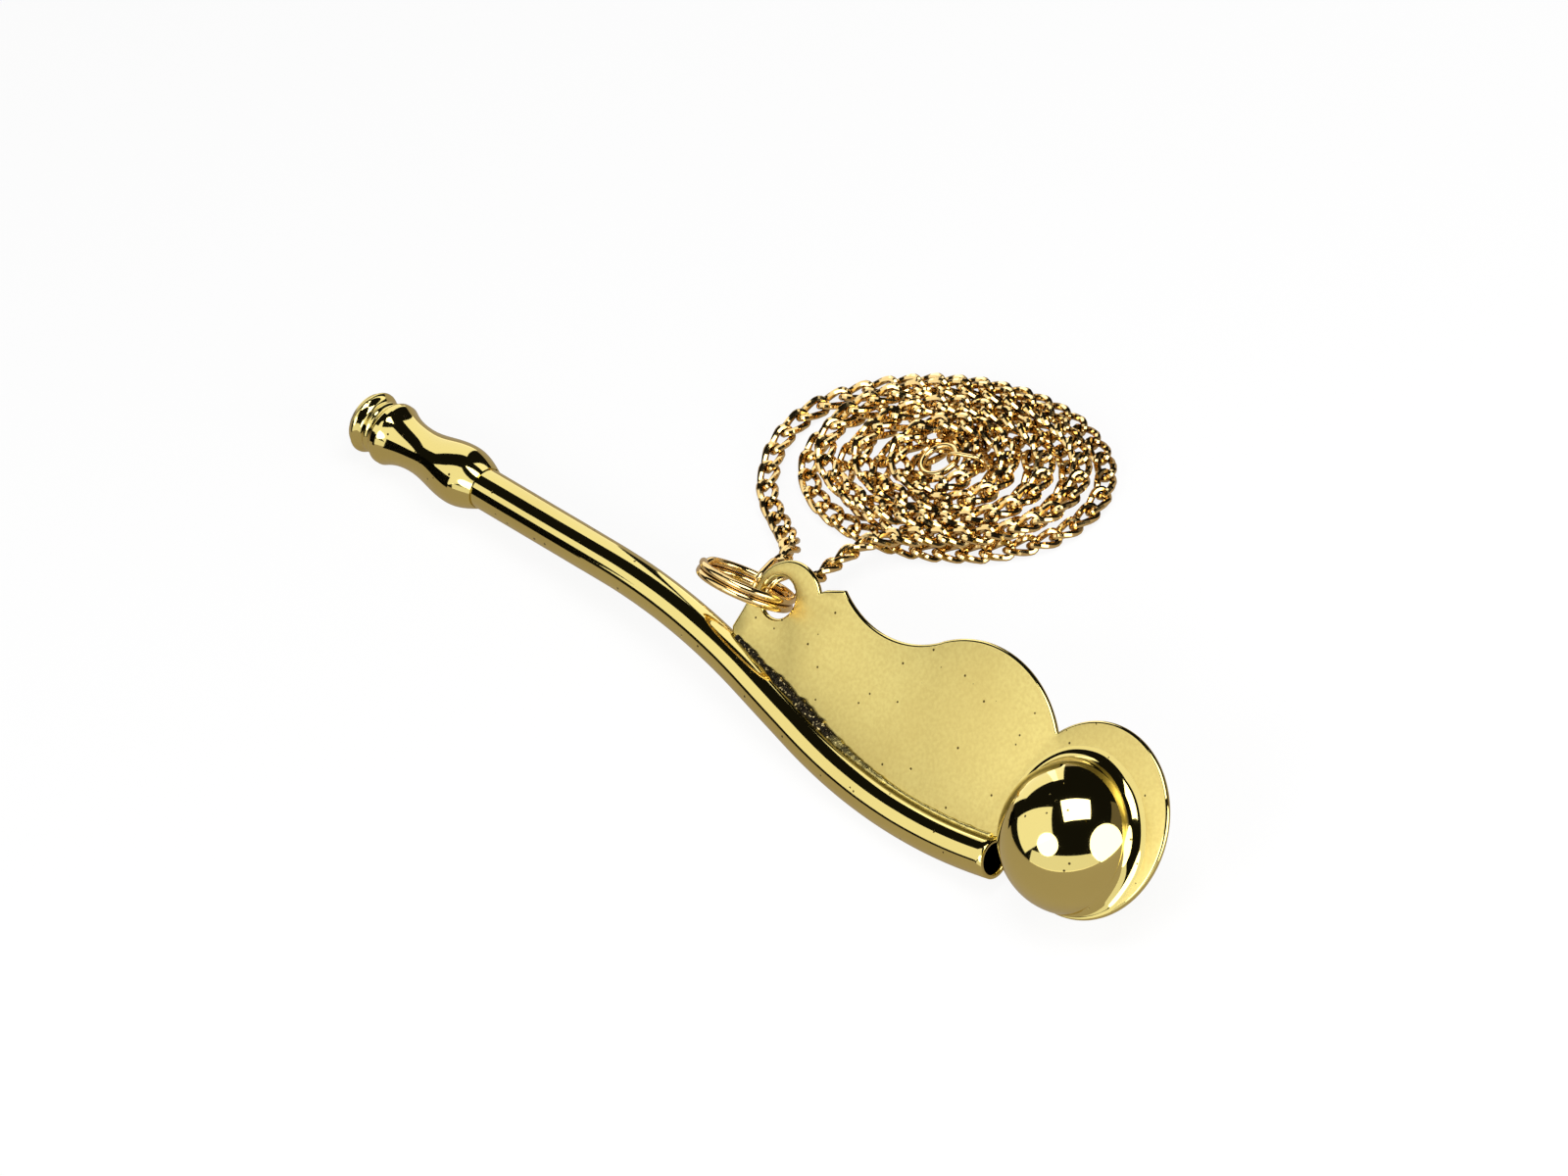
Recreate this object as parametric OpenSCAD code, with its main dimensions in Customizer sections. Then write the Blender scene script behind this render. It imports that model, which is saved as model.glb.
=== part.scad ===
// Boatswain call: a brass whistle of mouthpiece, gun, keel and ball, with a split ring and a neck chain.
// The call is drawn in its own frame, with the ball's centre at the origin, x along the line from the
// mouthpiece to the ball, y across the keel towards the lug and z square to the keel's face.
// It is then laid on the table, where flange, gun and ball touch, and the chain is coiled behind it.

/* [Gun] */
// Outside diameter of the gun tube
gun_d = 4.8; // [4.2:0.1:5.4]
// Wall of the gun tube
gun_wall = 0.5; // [0.3:0.05:0.7]
// Air gap between the gun's end and the ball
jet_gap = 2.7; // [2:0.1:3.4]
// Radius of the first bend, which dips away from the lug
bend1_r = 98; // [85:1:115]
// Angle of the first bend
bend1_angle = 14.4; // [12:0.2:16]
// Straight run between the bends
bend_gap = 10.8; // [6:0.2:14]
// Radius of the second bend, which rises to the ball
bend2_r = 75; // [68:1:82]
// Angle of the second bend
bend2_angle = 24.9; // [22:0.1:26]

/* [Mouthpiece] */
// Distance from the ball's centre to the mouthpiece's front end
mouth_reach = 115.9; // [110:0.5:122]
// Length of the mouthpiece
mouth_l = 19; // [17:0.5:22]
// Diameter of the end flange
flange_d = 7.3; // [6.8:0.1:8]
// Diameter of the front swell
front_swell_d = 7.2; // [6.6:0.1:8]
// Diameter of the waist
waist_d = 5.2; // [4.9:0.1:6]
// Diameter of the rear swell
rear_swell_d = 6.9; // [6.4:0.1:7.6]
// Diameter of the breath bore
mouth_bore_d = 3.4; // [3:0.1:3.6]
// Depth of the socket that holds the gun
socket_l = 6.5; // [5:0.5:7.5]

/* [Ball] */
// Outside diameter of the ball
ball_d = 17.8; // [16.8:0.1:18.4]
// Wall of the ball's half shells
ball_wall = 0.8; // [0.6:0.1:1.2]
// Diameter of the sound hole that faces the gun
sound_hole_d = 4.4; // [3.6:0.1:4.8]

/* [Keel] */
// Thickness of the keel plate
keel_t = 0.8; // [0.6:0.1:1.2]
// Diameter of the opening in the keel inside the ball
window_d = 12; // [9:0.5:12.5]
// Radius of the lobe round the ball
lobe_r = 11.4; // [11.2:0.1:12.4]
// Radius of the hump beside the lobe
hump_r = 15; // [14.4:0.1:15.6]
// Radius of the hollow between the hump and the lug
hollow_r = 13.8; // [13:0.2:14.6]
// Radius of the lug
lug_r = 5; // [4.6:0.1:5.4]
// Diameter of the lug's hole
lug_hole_d = 4.8; // [4.6:0.1:5.2]

/* [Solder] */
// Radius of the solder bead along the gun
seam_leg = 0.6; // [0.4:0.1:0.9]
// Leg of the solder bead round the ball
buoy_leg = 0.7; // [0.4:0.1:1]

/* [Split ring] */
// Outside diameter of the split ring
ring_d = 11.9; // [11:0.1:12.4]
// Diameter of the split ring's wire
ring_wire_d = 1; // [0.8:0.05:1.1]

/* [Chain] */
// Thickness of the chain as a round cord
chain_d = 1.8; // [1.5:0.1:1.9]
// Wire of the chain's end links
link_wire_d = 0.8; // [0.6:0.05:0.9]
// Straight length between an end link's two round ends
link_straight = 1.8; // [1.4:0.1:2.4]
// Half length of the pile, at the middle of its outer loop
pile_half_l = 21.4; // [20:0.2:24]
// Half width of the pile, at the middle of its outer loop
pile_half_w = 13.6; // [13:0.1:14.6]
// Radius of the pile's innermost half turn
pile_inner_r = 3.8; // [3.6:0.1:4.4]

/* [Clasp] */
// Outside diameter of the clasp ring
clasp_d = 5.2; // [4.8:0.1:5.4]
// Wire of the clasp ring
clasp_wire_d = 0.8; // [0.6:0.05:0.9]

/* [Hidden] */
$fn = 96;
brass = "#dcc878";
solder = "#b49c58";
gilt = "#dba94c";
// Hairline between soldered pieces, and running gap at the rings
seat_gap = 0.02;
run_gap = 0.25;
socket_gap = 0.1;
table_gap = 0.05;
eps = 0.01;
lap = 0.3;
lap_step = 0.01;

gun_r = gun_d / 2;
ball_r = ball_d / 2;
flange_r = flange_d / 2;

// The gun's centreline: straight, first bend down, straight, second bend up to the air gap at the ball
gun_end_angle = bend2_angle - bend1_angle;
gun_end_y = -bend1_r * (1 - cos(bend1_angle)) - bend_gap * sin(bend1_angle)
    + bend2_r * (cos(bend1_angle) - cos(gun_end_angle));
gun_end_x = -sqrt(pow(ball_r + jet_gap, 2) - pow(gun_end_y, 2));
bend1_start = bend1_r * sin(bend1_angle) + bend_gap * cos(bend1_angle)
    + bend2_r * (sin(bend1_angle) + sin(gun_end_angle)) - gun_end_x;
bend1_end = [
    -bend1_start + bend1_r * sin(bend1_angle),
    -bend1_r * (1 - cos(bend1_angle))
];
middle_way = [cos(bend1_angle), -sin(bend1_angle)];
bend2_begin = bend1_end + bend_gap * middle_way;
bend2_centre = bend2_begin + bend2_r * [sin(bend1_angle), cos(bend1_angle)];
gun_end = [gun_end_x, gun_end_y];
gun_end_way = [cos(gun_end_angle), sin(gun_end_angle)];
gun_end_up = [-sin(gun_end_angle), cos(gun_end_angle)];
gun_low = bend2_centre - [0, bend2_r];
gun_start_x = -mouth_reach + mouth_l - socket_l + socket_gap;

// Lie of the call on the table
flange_x = 0.9;
pitch = asin((ball_r - flange_r) / (mouth_reach - flange_x));
pitch_dip = bend2_r * pow(sin(pitch), 2) / 1.3;
keel_tilt = asin((ball_r - gun_r - table_gap - pitch_dip + gun_low[0] * sin(pitch)) / -gun_low[1]);
// Place of the ball over the table, which centres the call's box on the origin
ball_at = [51.4, -1.265, ball_r];

// Keel outline: lobe and hump from the ball's centre, lug from the end of the first bend,
// and a hollow that runs smoothly into the hump
lobe_at = [1, 2.6];
hump_at = [-19.4, -0.3];
hump_turn = 126.4;
hump_lap = 0.03;
hump_way = [cos(hump_turn), sin(hump_turn)];
hollow_at = hump_at + (hump_r + hollow_r - hump_lap) * hump_way;
lug_at = bend1_end + [1.3, 9.4];
lug_hole_at = lug_at + [-1.3, 0.2];
cusp_root = lug_at + [4.6, 3.8];
cusp = lug_at + [7.6, 5.1];
keel_foot = bend1_end[0] - 4.5;
foot_angle = asin((keel_foot + bend1_start) / bend1_r);
foot_y = -bend1_r * (1 - cos(foot_angle));
lobe_tip_x = 0;
gun_line = [
    [keel_foot, foot_y], bend1_end, bend2_begin,
    bend2_centre - bend2_r * [sin(bend1_angle / 2), cos(bend1_angle / 2)], gun_low,
    gun_end - lap * gun_end_way
];
jet_top = gun_end + gun_r * gun_end_up;

// Split ring, square to the keel and through the lug's hole
ring_mean_r = (ring_d - ring_wire_d) / 2;
ring_lift = 0.9;
hole_cross_x = lug_hole_at[0] + 0.9;
ring_at = [
    hole_cross_x - sqrt(ring_mean_r * ring_mean_r - ring_lift * ring_lift),
    lug_hole_at[1] - 0.5,
    ring_lift
];

// End links, on the part of the ring behind the keel
link_inner_r = ring_wire_d + run_gap + 0.05;
link_reach = link_straight + link_inner_r + link_wire_d;
left_link_at = -112;
right_link_at = -84;
link_lift = 28;

// Chain pile
pile_at = [-5.7, 33.6];
pile_turn = 23;
pile_low = chain_d / 2 + table_gap;
pile_rise = chain_d + 0.7;
layer_z = [pile_low, pile_low + pile_rise];
loop_points = 24;
half_turn_points = 12;
// The chain comes in at the pile's left end, spirals in and climbs a layer in the innermost half turn,
// then spirals out the same way round and leaves over the pile's near side
in_angle = 195;
out_angle = 276;
turn_start = 180;
turns_in = 4 + (in_angle - turn_start) / 360;
turns_out = 4 + (turn_start - 180 - out_angle) / 360;
step_w = (pile_half_w - pile_inner_r) / turns_in;
step_l = (pile_half_l - pile_inner_r) / turns_in;
lead = chain_d;
face_gap = 0.1;

// Free stretches of the chain, from the end links to the pile
left_route = [[-10.7, 13.7, 3.4], [-13.4, 15.2, 2], [-17.3, 17.2, 1.2], [-20.7, 18.9, 1]];
right_route = [[-4.2, 13.9, 4.3], [-4.4, 16.4, 4], [-3.6, 20, 3.7]];
route_steps = 5;
tube_sides = 8;
pile_sides = 6;

// Clasp ring, hung in the middle of the pile from the end of the climbing half turn
clasp_mean_r = (clasp_d - clasp_wire_d) / 2;
clasp_link_wire_d = 0.5;
clasp_link_gap = 0.1;
clasp_drop = 0.8;
clasp_reach = chain_d / 2 + run_gap + clasp_wire_d / 2 + clasp_drop;
clasp_tilt = 13;

// Rotations that lay the call on the table, for points and for solids
function laid(p) =
    let (
        q = [p[0], p[1] * cos(keel_tilt) - p[2] * sin(keel_tilt), p[1] * sin(keel_tilt) + p[2] * cos(keel_tilt)]
    )
    [q[0] * cos(pitch) - q[2] * sin(pitch), q[1], q[0] * sin(pitch) + q[2] * cos(pitch)];

function on_table(p) = ball_at + laid(p);

module lay() {
    translate(ball_at) rotate([0, -pitch, 0]) rotate([keel_tilt, 0, 0]) children();
}

// Move in two steps, whole millimetres and the rest, so that the bends meet the straight runs closely
module shift(p) {
    whole = [floor(p[0]), floor(p[1]), 0];
    translate(whole) translate([p[0], p[1], 0] - whole) children();
}

// A profile, drawn with x across and y square to the keel, carried along part of the gun
module along_bend1(from_angle, to_angle) {
    shift([-bend1_start, -bend1_r])
        rotate_extrude(angle = to_angle - from_angle, start = 90 - to_angle)
            translate([bend1_r, 0]) children();
}

module along_straight(start, heading, run) {
    shift(start)
        rotate([0, 0, heading])
            rotate([90, 0, 90])
                linear_extrude(height = run) children();
}

module along_bend2(short = 0) {
    shift(bend2_centre)
        rotate_extrude(angle = bend2_angle - short, start = 270 - bend1_angle)
            translate([bend2_r, 0]) mirror([1, 0]) children();
}

// The whole gun: the straight runs lap a little way over the bends and are a hair thicker
module round_along_gun(r) {
    along_straight([gun_start_x, 0], 0, lap - bend1_start - gun_start_x) circle(r + lap_step);
    along_bend1(0, bend1_angle) circle(r);
    along_middle(lap) circle(r + lap_step);
    along_bend2() circle(r);
}

module along_middle(lap) {
    along_straight(bend1_end - lap * middle_way, -bend1_angle, bend_gap + 2 * lap) children();
}

module gun() {
    color(brass) lay() difference() {
        round_along_gun(gun_r);
        round_along_gun(gun_r - gun_wall);
    }
}

// Turned profile of the mouthpiece: stations of [distance from the front end, radius]
mouth_stations = [
    [0, flange_r - 0.6], [flange_x, flange_r], [1.8, flange_r - 0.75], [2.3, flange_r - 0.55],
    [2.8, flange_r - 0.7], [4.4, front_swell_d / 2], [9.7, waist_d / 2],
    [mouth_l - 2.8, rear_swell_d / 2], [mouth_l, rear_swell_d / 2 - 0.65]
];
mouth_steps = 5;

function eased(a, b, t) = a + (b - a) * (1 - cos(180 * t)) / 2;

function turned(stations) = [
    for (i = [0 : len(stations) - 2], k = [0 : mouth_steps - 1])
        let (a = stations[i], b = stations[i + 1], t = k / mouth_steps)
            [eased(a[1], b[1], t), a[0] + (b[0] - a[0]) * t],
    [stations[len(stations) - 1][1], stations[len(stations) - 1][0]]
];

module mouthpiece() {
    countersink = 0.6;
    color(brass) lay()
        translate([-mouth_reach, 0, 0]) rotate([0, 90, 0]) difference() {
            rotate_extrude() polygon([[0, 0], each turned(mouth_stations), [0, mouth_l]]);
            translate([0, 0, -eps]) cylinder(d = mouth_bore_d, h = mouth_l);
            translate([0, 0, -eps])
                cylinder(d1 = mouth_bore_d + 2 * countersink, d2 = mouth_bore_d, h = countersink);
            translate([0, 0, mouth_l - socket_l - seat_gap])
                cylinder(r = gun_r + seat_gap, h = socket_l + 1);
        }
}

// Keel outline, with its foot inside the gun
module keel_outline() {
    difference() {
        union() {
            translate(lobe_at) circle(lobe_r);
            translate(hump_at) circle(hump_r);
            translate(lug_at) circle(lug_r);
            polygon([
                each gun_line, jet_top,
                [0, 0], hump_at, hump_at + hump_r * hump_way, cusp, cusp_root, lug_at,
                lug_at - [lug_r, 0], [keel_foot + 0.4, foot_y + 5.2], [keel_foot, foot_y + gun_r + 0.6]
            ]);
        }
        // Below the gun's middle line
        polygon([
            [keel_foot - lug_r, foot_y], each gun_line,
            gun_end + lap * gun_end_way, gun_end + lap * gun_end_way - 2 * lobe_r * gun_end_up,
            [keel_foot - lug_r, -2 * lobe_r]
        ]);
        translate(hollow_at) circle(hollow_r);
        // Below the gun's top line the lobe is cut away, where the jet of air crosses to the ball
        translate(jet_top) rotate(gun_end_angle) translate([-lap, -2 * lobe_r])
            square([lobe_tip_x - jet_top[0] + lap, 2 * lobe_r]);
        translate(lug_hole_at) circle(d = lug_hole_d);
    }
}

module keel_plate(thickness) {
    linear_extrude(height = thickness, center = true) keel_outline();
}

module keel() {
    color(brass) lay() difference() {
        keel_plate(keel_t);
        cylinder(d = window_d, h = 2 * keel_t, center = true);
        round_along_gun(gun_r + seat_gap);
    }
}

// One half of the ball, seated on the keel and cut by the sound hole
module half_shell() {
    jet_angle = atan2(gun_end[1], gun_end[0]) - 10;
    difference() {
        intersection() {
            sphere(ball_r, $fn = 180);
            translate([0, 0, ball_r + seat_gap / 2]) cube(2 * ball_r, center = true);
        }
        sphere(ball_r - ball_wall);
        keel_plate(keel_t + 2 * seat_gap);
        rotate([0, 90, jet_angle]) cylinder(d = sound_hole_d, h = 2 * ball_r);
    }
}

module buoy_front_shell() {
    color(brass) lay() half_shell();
}

module buoy_rear_shell() {
    color(brass) lay() mirror([0, 0, 1]) half_shell();
}

// Solder bead along the corner between the gun and the keel's face
module gun_bead(r) {
    translate([gun_r, keel_t / 2]) circle(r);
}

module gun_seam() {
    foot = keel_t / 2 + seat_gap;
    bead_from = foot_angle + 0.4;
    bead_short = 0.6;
    difference() {
        union() {
            along_bend1(bead_from, bend1_angle) gun_bead(seam_leg);
            along_middle(2 * lap) gun_bead(seam_leg + lap_step);
            along_bend2(bead_short) gun_bead(seam_leg);
        }
        round_along_gun(gun_r + seat_gap);
        translate([-mouth_reach, -mouth_reach / 2, foot - mouth_reach]) cube(mouth_reach);
    }
}

module gun_seam_front() {
    color(solder) lay() gun_seam();
}

module gun_seam_rear() {
    color(solder) lay() mirror([0, 0, 1]) gun_seam();
}

module buoy_seam() {
    foot = keel_t / 2 + seat_gap;
    inner = ball_r - 0.5;
    bead_from = -50;
    bead_to = 196;
    difference() {
        rotate([0, 0, bead_from]) rotate_extrude(angle = bead_to - bead_from)
            polygon([[inner, foot], [ball_r + buoy_leg, foot], [inner, foot + buoy_leg + 0.5]]);
        sphere(ball_r + seat_gap);
    }
}

module buoy_seam_front() {
    color(solder) lay() buoy_seam();
}

module buoy_seam_rear() {
    color(solder) lay() mirror([0, 0, 1]) buoy_seam();
}

// Split ring: two turns of wire side by side, each with its own cut end
module split_ring() {
    turn_gap = ring_wire_d * 0.98;
    cut_w = 0.4;
    color(gilt) lay() translate(ring_at) rotate([-90, 0, 0]) difference() {
        for (side = [-1, 1]) translate([0, 0, side * turn_gap / 2])
            rotate_extrude() translate([ring_mean_r, 0]) circle(d = ring_wire_d);
        for (side = [-1, 1]) rotate([0, 0, 200 + 15 * side])
            translate([ring_mean_r, 0, side * ring_wire_d])
                cube([2 * ring_wire_d, cut_w, 1.6 * ring_wire_d], center = true);
    }
}

// An open link of round wire, with one round end at the origin and the other along +x
module oval_link(inner_r, straight, wire_d) {
    mean_r = inner_r + wire_d / 2;
    for (end = [0, 1]) translate([end * straight, 0, 0]) rotate([0, 0, end ? -90 : 90])
        rotate_extrude(angle = 180) translate([mean_r, 0]) circle(d = wire_d);
    for (side = [-1, 1]) translate([0, side * mean_r, 0]) rotate([0, 90, 0])
        cylinder(d = wire_d, h = straight);
}

// Point on the middle of the split ring's wire, and the way an end link points there
function ring_point(angle) = ring_at + ring_mean_r * [cos(angle), 0, sin(angle)];
function link_way(angle) =
    cos(link_lift) * [cos(angle), 0, sin(angle)] + sin(link_lift) * [0, 1, 0];
function link_tip(angle, beyond) = on_table(ring_point(angle) + (link_reach + beyond) * link_way(angle));

module end_link(angle) {
    lay() translate(ring_point(angle)) rotate([0, -angle, 0]) rotate([0, 0, link_lift])
        oval_link(link_inner_r, link_straight, link_wire_d);
}

module left_end_link() {
    color(gilt) end_link(left_link_at);
}

module right_end_link() {
    color(gilt) end_link(right_link_at);
}

// A place in the pile, from distances along and across it
function in_pile(u, v, z) = [
    pile_at[0] + u * cos(pile_turn) - v * sin(pile_turn),
    pile_at[1] + u * sin(pile_turn) + v * cos(pile_turn),
    z
];

// The pile's one tube: in on the lower layer, a half turn that climbs, out on the upper layer
in_count = round(loop_points * turns_in);
out_count = round(loop_points * turns_out);
spiral_in = [
    for (i = [0 : in_count])
        let (turn = turns_in * i / in_count, a = in_angle - 360 * turn)
            in_pile(
                (pile_half_l - step_l * turn) * cos(a),
                (pile_half_w - step_w * turn) * sin(a),
                layer_z[0]
            )
];
half_turn = [
    for (i = [1 : half_turn_points - 1])
        let (share = i / half_turn_points, a = turn_start - 180 * share)
            in_pile(
                pile_inner_r * cos(a),
                pile_inner_r * sin(a),
                layer_z[0] + pile_rise * (1 - cos(180 * share)) / 2
            )
];
spiral_out = [
    for (i = [0 : out_count])
        let (turn = turns_out * i / out_count, a = turn_start - 180 - 360 * turn)
            in_pile(
                (pile_inner_r + step_l * turn) * cos(a),
                (pile_inner_r + step_w * turn) * sin(a),
                layer_z[1]
            )
];
pile_line = concat(spiral_in, half_turn, spiral_out);
last = len(pile_line) - 1;

function unit(v) = v / norm(v);

// Sweep of a round section along a line of points
function way_at(line, i) =
    unit(line[min(i + 1, len(line) - 1)] - line[max(i - 1, 0)]);
function ring_at_point(line, i, r, sides) =
    let (way = way_at(line, i), side = unit(cross(way, [0, 0, 1])), up = cross(side, way))
    [for (k = [0 : sides - 1]) line[i] + r * (cos(360 * k / sides) * side + sin(360 * k / sides) * up)];

module cord(line, r, sides) {
    count = len(line);
    rings = [for (i = [0 : count - 1]) each ring_at_point(line, i, r, sides)];
    walls = [
        for (i = [0 : count - 2], k = [0 : sides - 1])
            let (a = i * sides + k, b = i * sides + (k + 1) % sides)
                each [[a, a + sides, b], [b, a + sides, b + sides]]
    ];
    near_end = [for (k = [1 : sides - 2]) [0, k, k + 1]];
    far = (count - 1) * sides;
    far_end = [for (k = [1 : sides - 2]) [far, far + k + 1, far + k]];
    polyhedron(points = rings, faces = concat(walls, near_end, far_end), convexity = 10);
}

module chain_pile() {
    color(gilt) cord(pile_line, chain_d / 2, pile_sides);
}

// Smooth line through a few chosen points
function curve_point(p, t) =
    0.5 * ((2 * p[1]) + (p[2] - p[0]) * t + (2 * p[0] - 5 * p[1] + 4 * p[2] - p[3]) * t * t
        + (3 * p[1] - p[0] - 3 * p[2] + p[3]) * t * t * t);
function curve(p) = [
    for (i = [1 : len(p) - 3], k = [0 : route_steps - 1])
        curve_point([for (j = [-1 : 2]) p[i + j]], k / route_steps),
    p[len(p) - 2]
];

left_line = curve(concat(
    [link_tip(left_link_at, 0), link_tip(left_link_at, run_gap), link_tip(left_link_at, run_gap + lead)],
    left_route,
    [
        pile_line[0] - lead * way_at(pile_line, 0),
        pile_line[0] - face_gap * way_at(pile_line, 0),
        pile_line[1]
    ]
));
right_line = curve(concat(
    [link_tip(right_link_at, 0), link_tip(right_link_at, run_gap), link_tip(right_link_at, run_gap + lead)],
    right_route,
    [
        pile_line[last] + lead * way_at(pile_line, last),
        pile_line[last] + face_gap * way_at(pile_line, last),
        pile_line[last - 1]
    ]
));

module chain_left_stretch() {
    color(gilt) cord(left_line, chain_d / 2, tube_sides);
}

module chain_right_stretch() {
    color(gilt) cord(right_line, chain_d / 2, tube_sides);
}

// Clasp ring in the middle of the pile, and the link that ties it to the chain where the climb ends
module at_climb_end() {
    translate([pile_at[0], pile_at[1], layer_z[1]]) rotate([0, 0, pile_turn + turn_start - 180])
        translate([pile_inner_r, 0, 0]) rotate([0, 0, 90]) children();
}

module clasp_ring() {
    color(gilt) at_climb_end() translate([0, clasp_reach, 0]) rotate([-clasp_tilt, 0, 0])
        translate([0, clasp_mean_r, 0])
            rotate_extrude() translate([clasp_mean_r, 0]) circle(d = clasp_wire_d);
}

module clasp_link() {
    inner_r = chain_d / 2 + clasp_link_gap;
    color(gilt) at_climb_end() rotate([90, 0, 90])
        oval_link(inner_r, clasp_reach - inner_r + clasp_wire_d / 2 + run_gap, clasp_link_wire_d);
}

// Least gap of the pile's tube to itself, and the length of the whole chain
function length_of(line) = len(line) < 2 ? 0 : sum_of([for (i = [1 : len(line) - 1]) norm(line[i] - line[i - 1])]);
function sum_of(list) = list * [for (x = list) 1];
self_gap = min([
    for (i = [0 : last], j = [i + 8 : 1 : last]) norm(pile_line[i] - pile_line[j])
]) - chain_d;
echo(pile_gap_to_itself_mm = self_gap);
echo(chain_length_mm = length_of(left_line) + length_of(pile_line) + length_of(right_line));

mouthpiece();
gun();
keel();
buoy_front_shell();
buoy_rear_shell();
gun_seam_front();
gun_seam_rear();
buoy_seam_front();
buoy_seam_rear();
split_ring();
left_end_link();
right_end_link();
chain_left_stretch();
chain_pile();
chain_right_stretch();
clasp_ring();
clasp_link();
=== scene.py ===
import math
from types import SimpleNamespace

import bmesh
import bpy
import numpy as np
from mathutils import Matrix, Vector, noise


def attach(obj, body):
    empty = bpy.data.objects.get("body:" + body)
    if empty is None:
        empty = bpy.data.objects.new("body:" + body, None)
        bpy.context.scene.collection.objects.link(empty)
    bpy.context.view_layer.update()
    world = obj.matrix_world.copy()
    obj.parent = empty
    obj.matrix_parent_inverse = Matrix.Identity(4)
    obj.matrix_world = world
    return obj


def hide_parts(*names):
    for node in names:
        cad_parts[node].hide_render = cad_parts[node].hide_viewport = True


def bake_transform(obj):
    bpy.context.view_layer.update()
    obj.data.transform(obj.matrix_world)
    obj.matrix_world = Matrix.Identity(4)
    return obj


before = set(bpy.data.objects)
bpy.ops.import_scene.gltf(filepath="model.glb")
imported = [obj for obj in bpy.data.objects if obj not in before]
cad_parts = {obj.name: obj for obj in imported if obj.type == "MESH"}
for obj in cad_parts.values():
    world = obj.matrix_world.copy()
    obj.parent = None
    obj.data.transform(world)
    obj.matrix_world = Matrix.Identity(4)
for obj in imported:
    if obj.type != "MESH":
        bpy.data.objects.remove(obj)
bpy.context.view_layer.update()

bl_info = {
    "name": "Boatswain Call",
    "version": (1, 0, 0),
    "blender": (4, 5, 0),
    "location": "3D View > Sidebar > Boatswain Call",
    "description": "Builds a brass boatswain call with its ring and neck chain, piece by piece",
    "category": "Add Mesh",
}

MM = 0.001


# Properties

def length(name, description, millimetres):
    """A length, given in millimetres"""
    return bpy.props.FloatProperty(
        name=name, description=description, default=millimetres * MM, unit="LENGTH", precision=5
    )


def turn(name, description, degrees):
    """An angle, given in degrees"""
    return bpy.props.FloatProperty(
        name=name, description=description, default=math.radians(degrees), subtype="ANGLE"
    )


def spot(name, description, millimetres):
    """A place on or over the table, given in millimetres"""
    return bpy.props.FloatVectorProperty(
        name=name, description=description, default=[x * MM for x in millimetres], size=len(millimetres),
        subtype="TRANSLATION", unit="LENGTH",
    )


def share(name, description, value):
    """A share from 0 to 1"""
    return bpy.props.FloatProperty(
        name=name, description=description, default=value, min=0, max=1, subtype="FACTOR"
    )


def tint(name, description, rgb):
    """A colour in linear light"""
    return bpy.props.FloatVectorProperty(
        name=name, description=description, default=rgb, size=3, min=0, max=1, subtype="COLOR"
    )


class CallSizes(bpy.types.PropertyGroup):
    """Sizes and place of the brass call"""

    gun_d: length("Gun", "Outside diameter of the gun tube", 4.8)
    gun_wall: length("Gun wall", "Wall of the gun tube", 0.5)
    jet_gap: length("Jet gap", "Air gap between the gun's end and the ball", 2.7)
    bend1_r: length("First bend", "Radius of the bend that dips away from the lug", 98)
    bend1_angle: turn("First bend's turn", "Angle of the first bend", 14.4)
    bend_gap: length("Run between bends", "Straight run between the two bends", 10.8)
    bend2_r: length("Second bend", "Radius of the bend that rises to the ball", 75)
    bend2_angle: turn("Second bend's turn", "Angle of the second bend", 24.9)
    mouth_reach: length("Reach", "From the ball's centre to the mouthpiece's front end", 115.9)
    mouth_l: length("Mouthpiece", "Length of the mouthpiece", 19)
    flange_d: length("Flange", "Diameter of the mouthpiece's end flange", 7.3)
    front_swell_d: length("Front swell", "Diameter of the front swell", 7.4)
    waist_d: length("Waist", "Diameter of the mouthpiece's waist", 5.4)
    rear_swell_d: length("Rear swell", "Diameter of the rear swell", 7.25)
    mouth_bore_d: length("Breath bore", "Diameter of the breath bore", 3.4)
    socket_l: length("Socket", "Depth of the socket that holds the gun", 6.5)
    ball_d: length("Ball", "Outside diameter of the ball", 17.8)
    ball_wall: length("Ball wall", "Wall of the ball's half shells", 0.8)
    sound_hole_d: length("Sound hole", "Diameter of the hole that faces the gun", 4.4)
    keel_t: length("Keel", "Thickness of the keel plate", 0.8)
    keel_edge: length("Keel edge", "Rounding of the keel's edges", 0.36)
    window_d: length("Window", "Opening in the keel inside the ball", 12)
    lobe_r: length("Lobe", "Radius of the lobe round the ball", 11.4)
    hump_r: length("Hump", "Radius of the hump beside the lobe", 15)
    hollow_r: length("Hollow", "Radius of the hollow between hump and lug", 13.8)
    lug_r: length("Lug", "Radius of the lug", 5)
    lug_hole_d: length("Lug hole", "Diameter of the lug's hole", 4.8)
    gun_bead_r: length("Gun solder", "Least radius of the solder bead along the gun", 0.32)
    ball_fillet_r: length("Ball solder", "Hollow radius of the fillet round the ball's foot", 1.8)
    ring_d: length("Split ring", "Outside diameter of the split ring", 11.9)
    ring_wire_d: length("Split ring wire", "Diameter of the split ring's wire", 1)
    ball_at: spot("Ball's place", "Place of the ball's centre over the table", (51.4, -1.265, 8.9))


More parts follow.
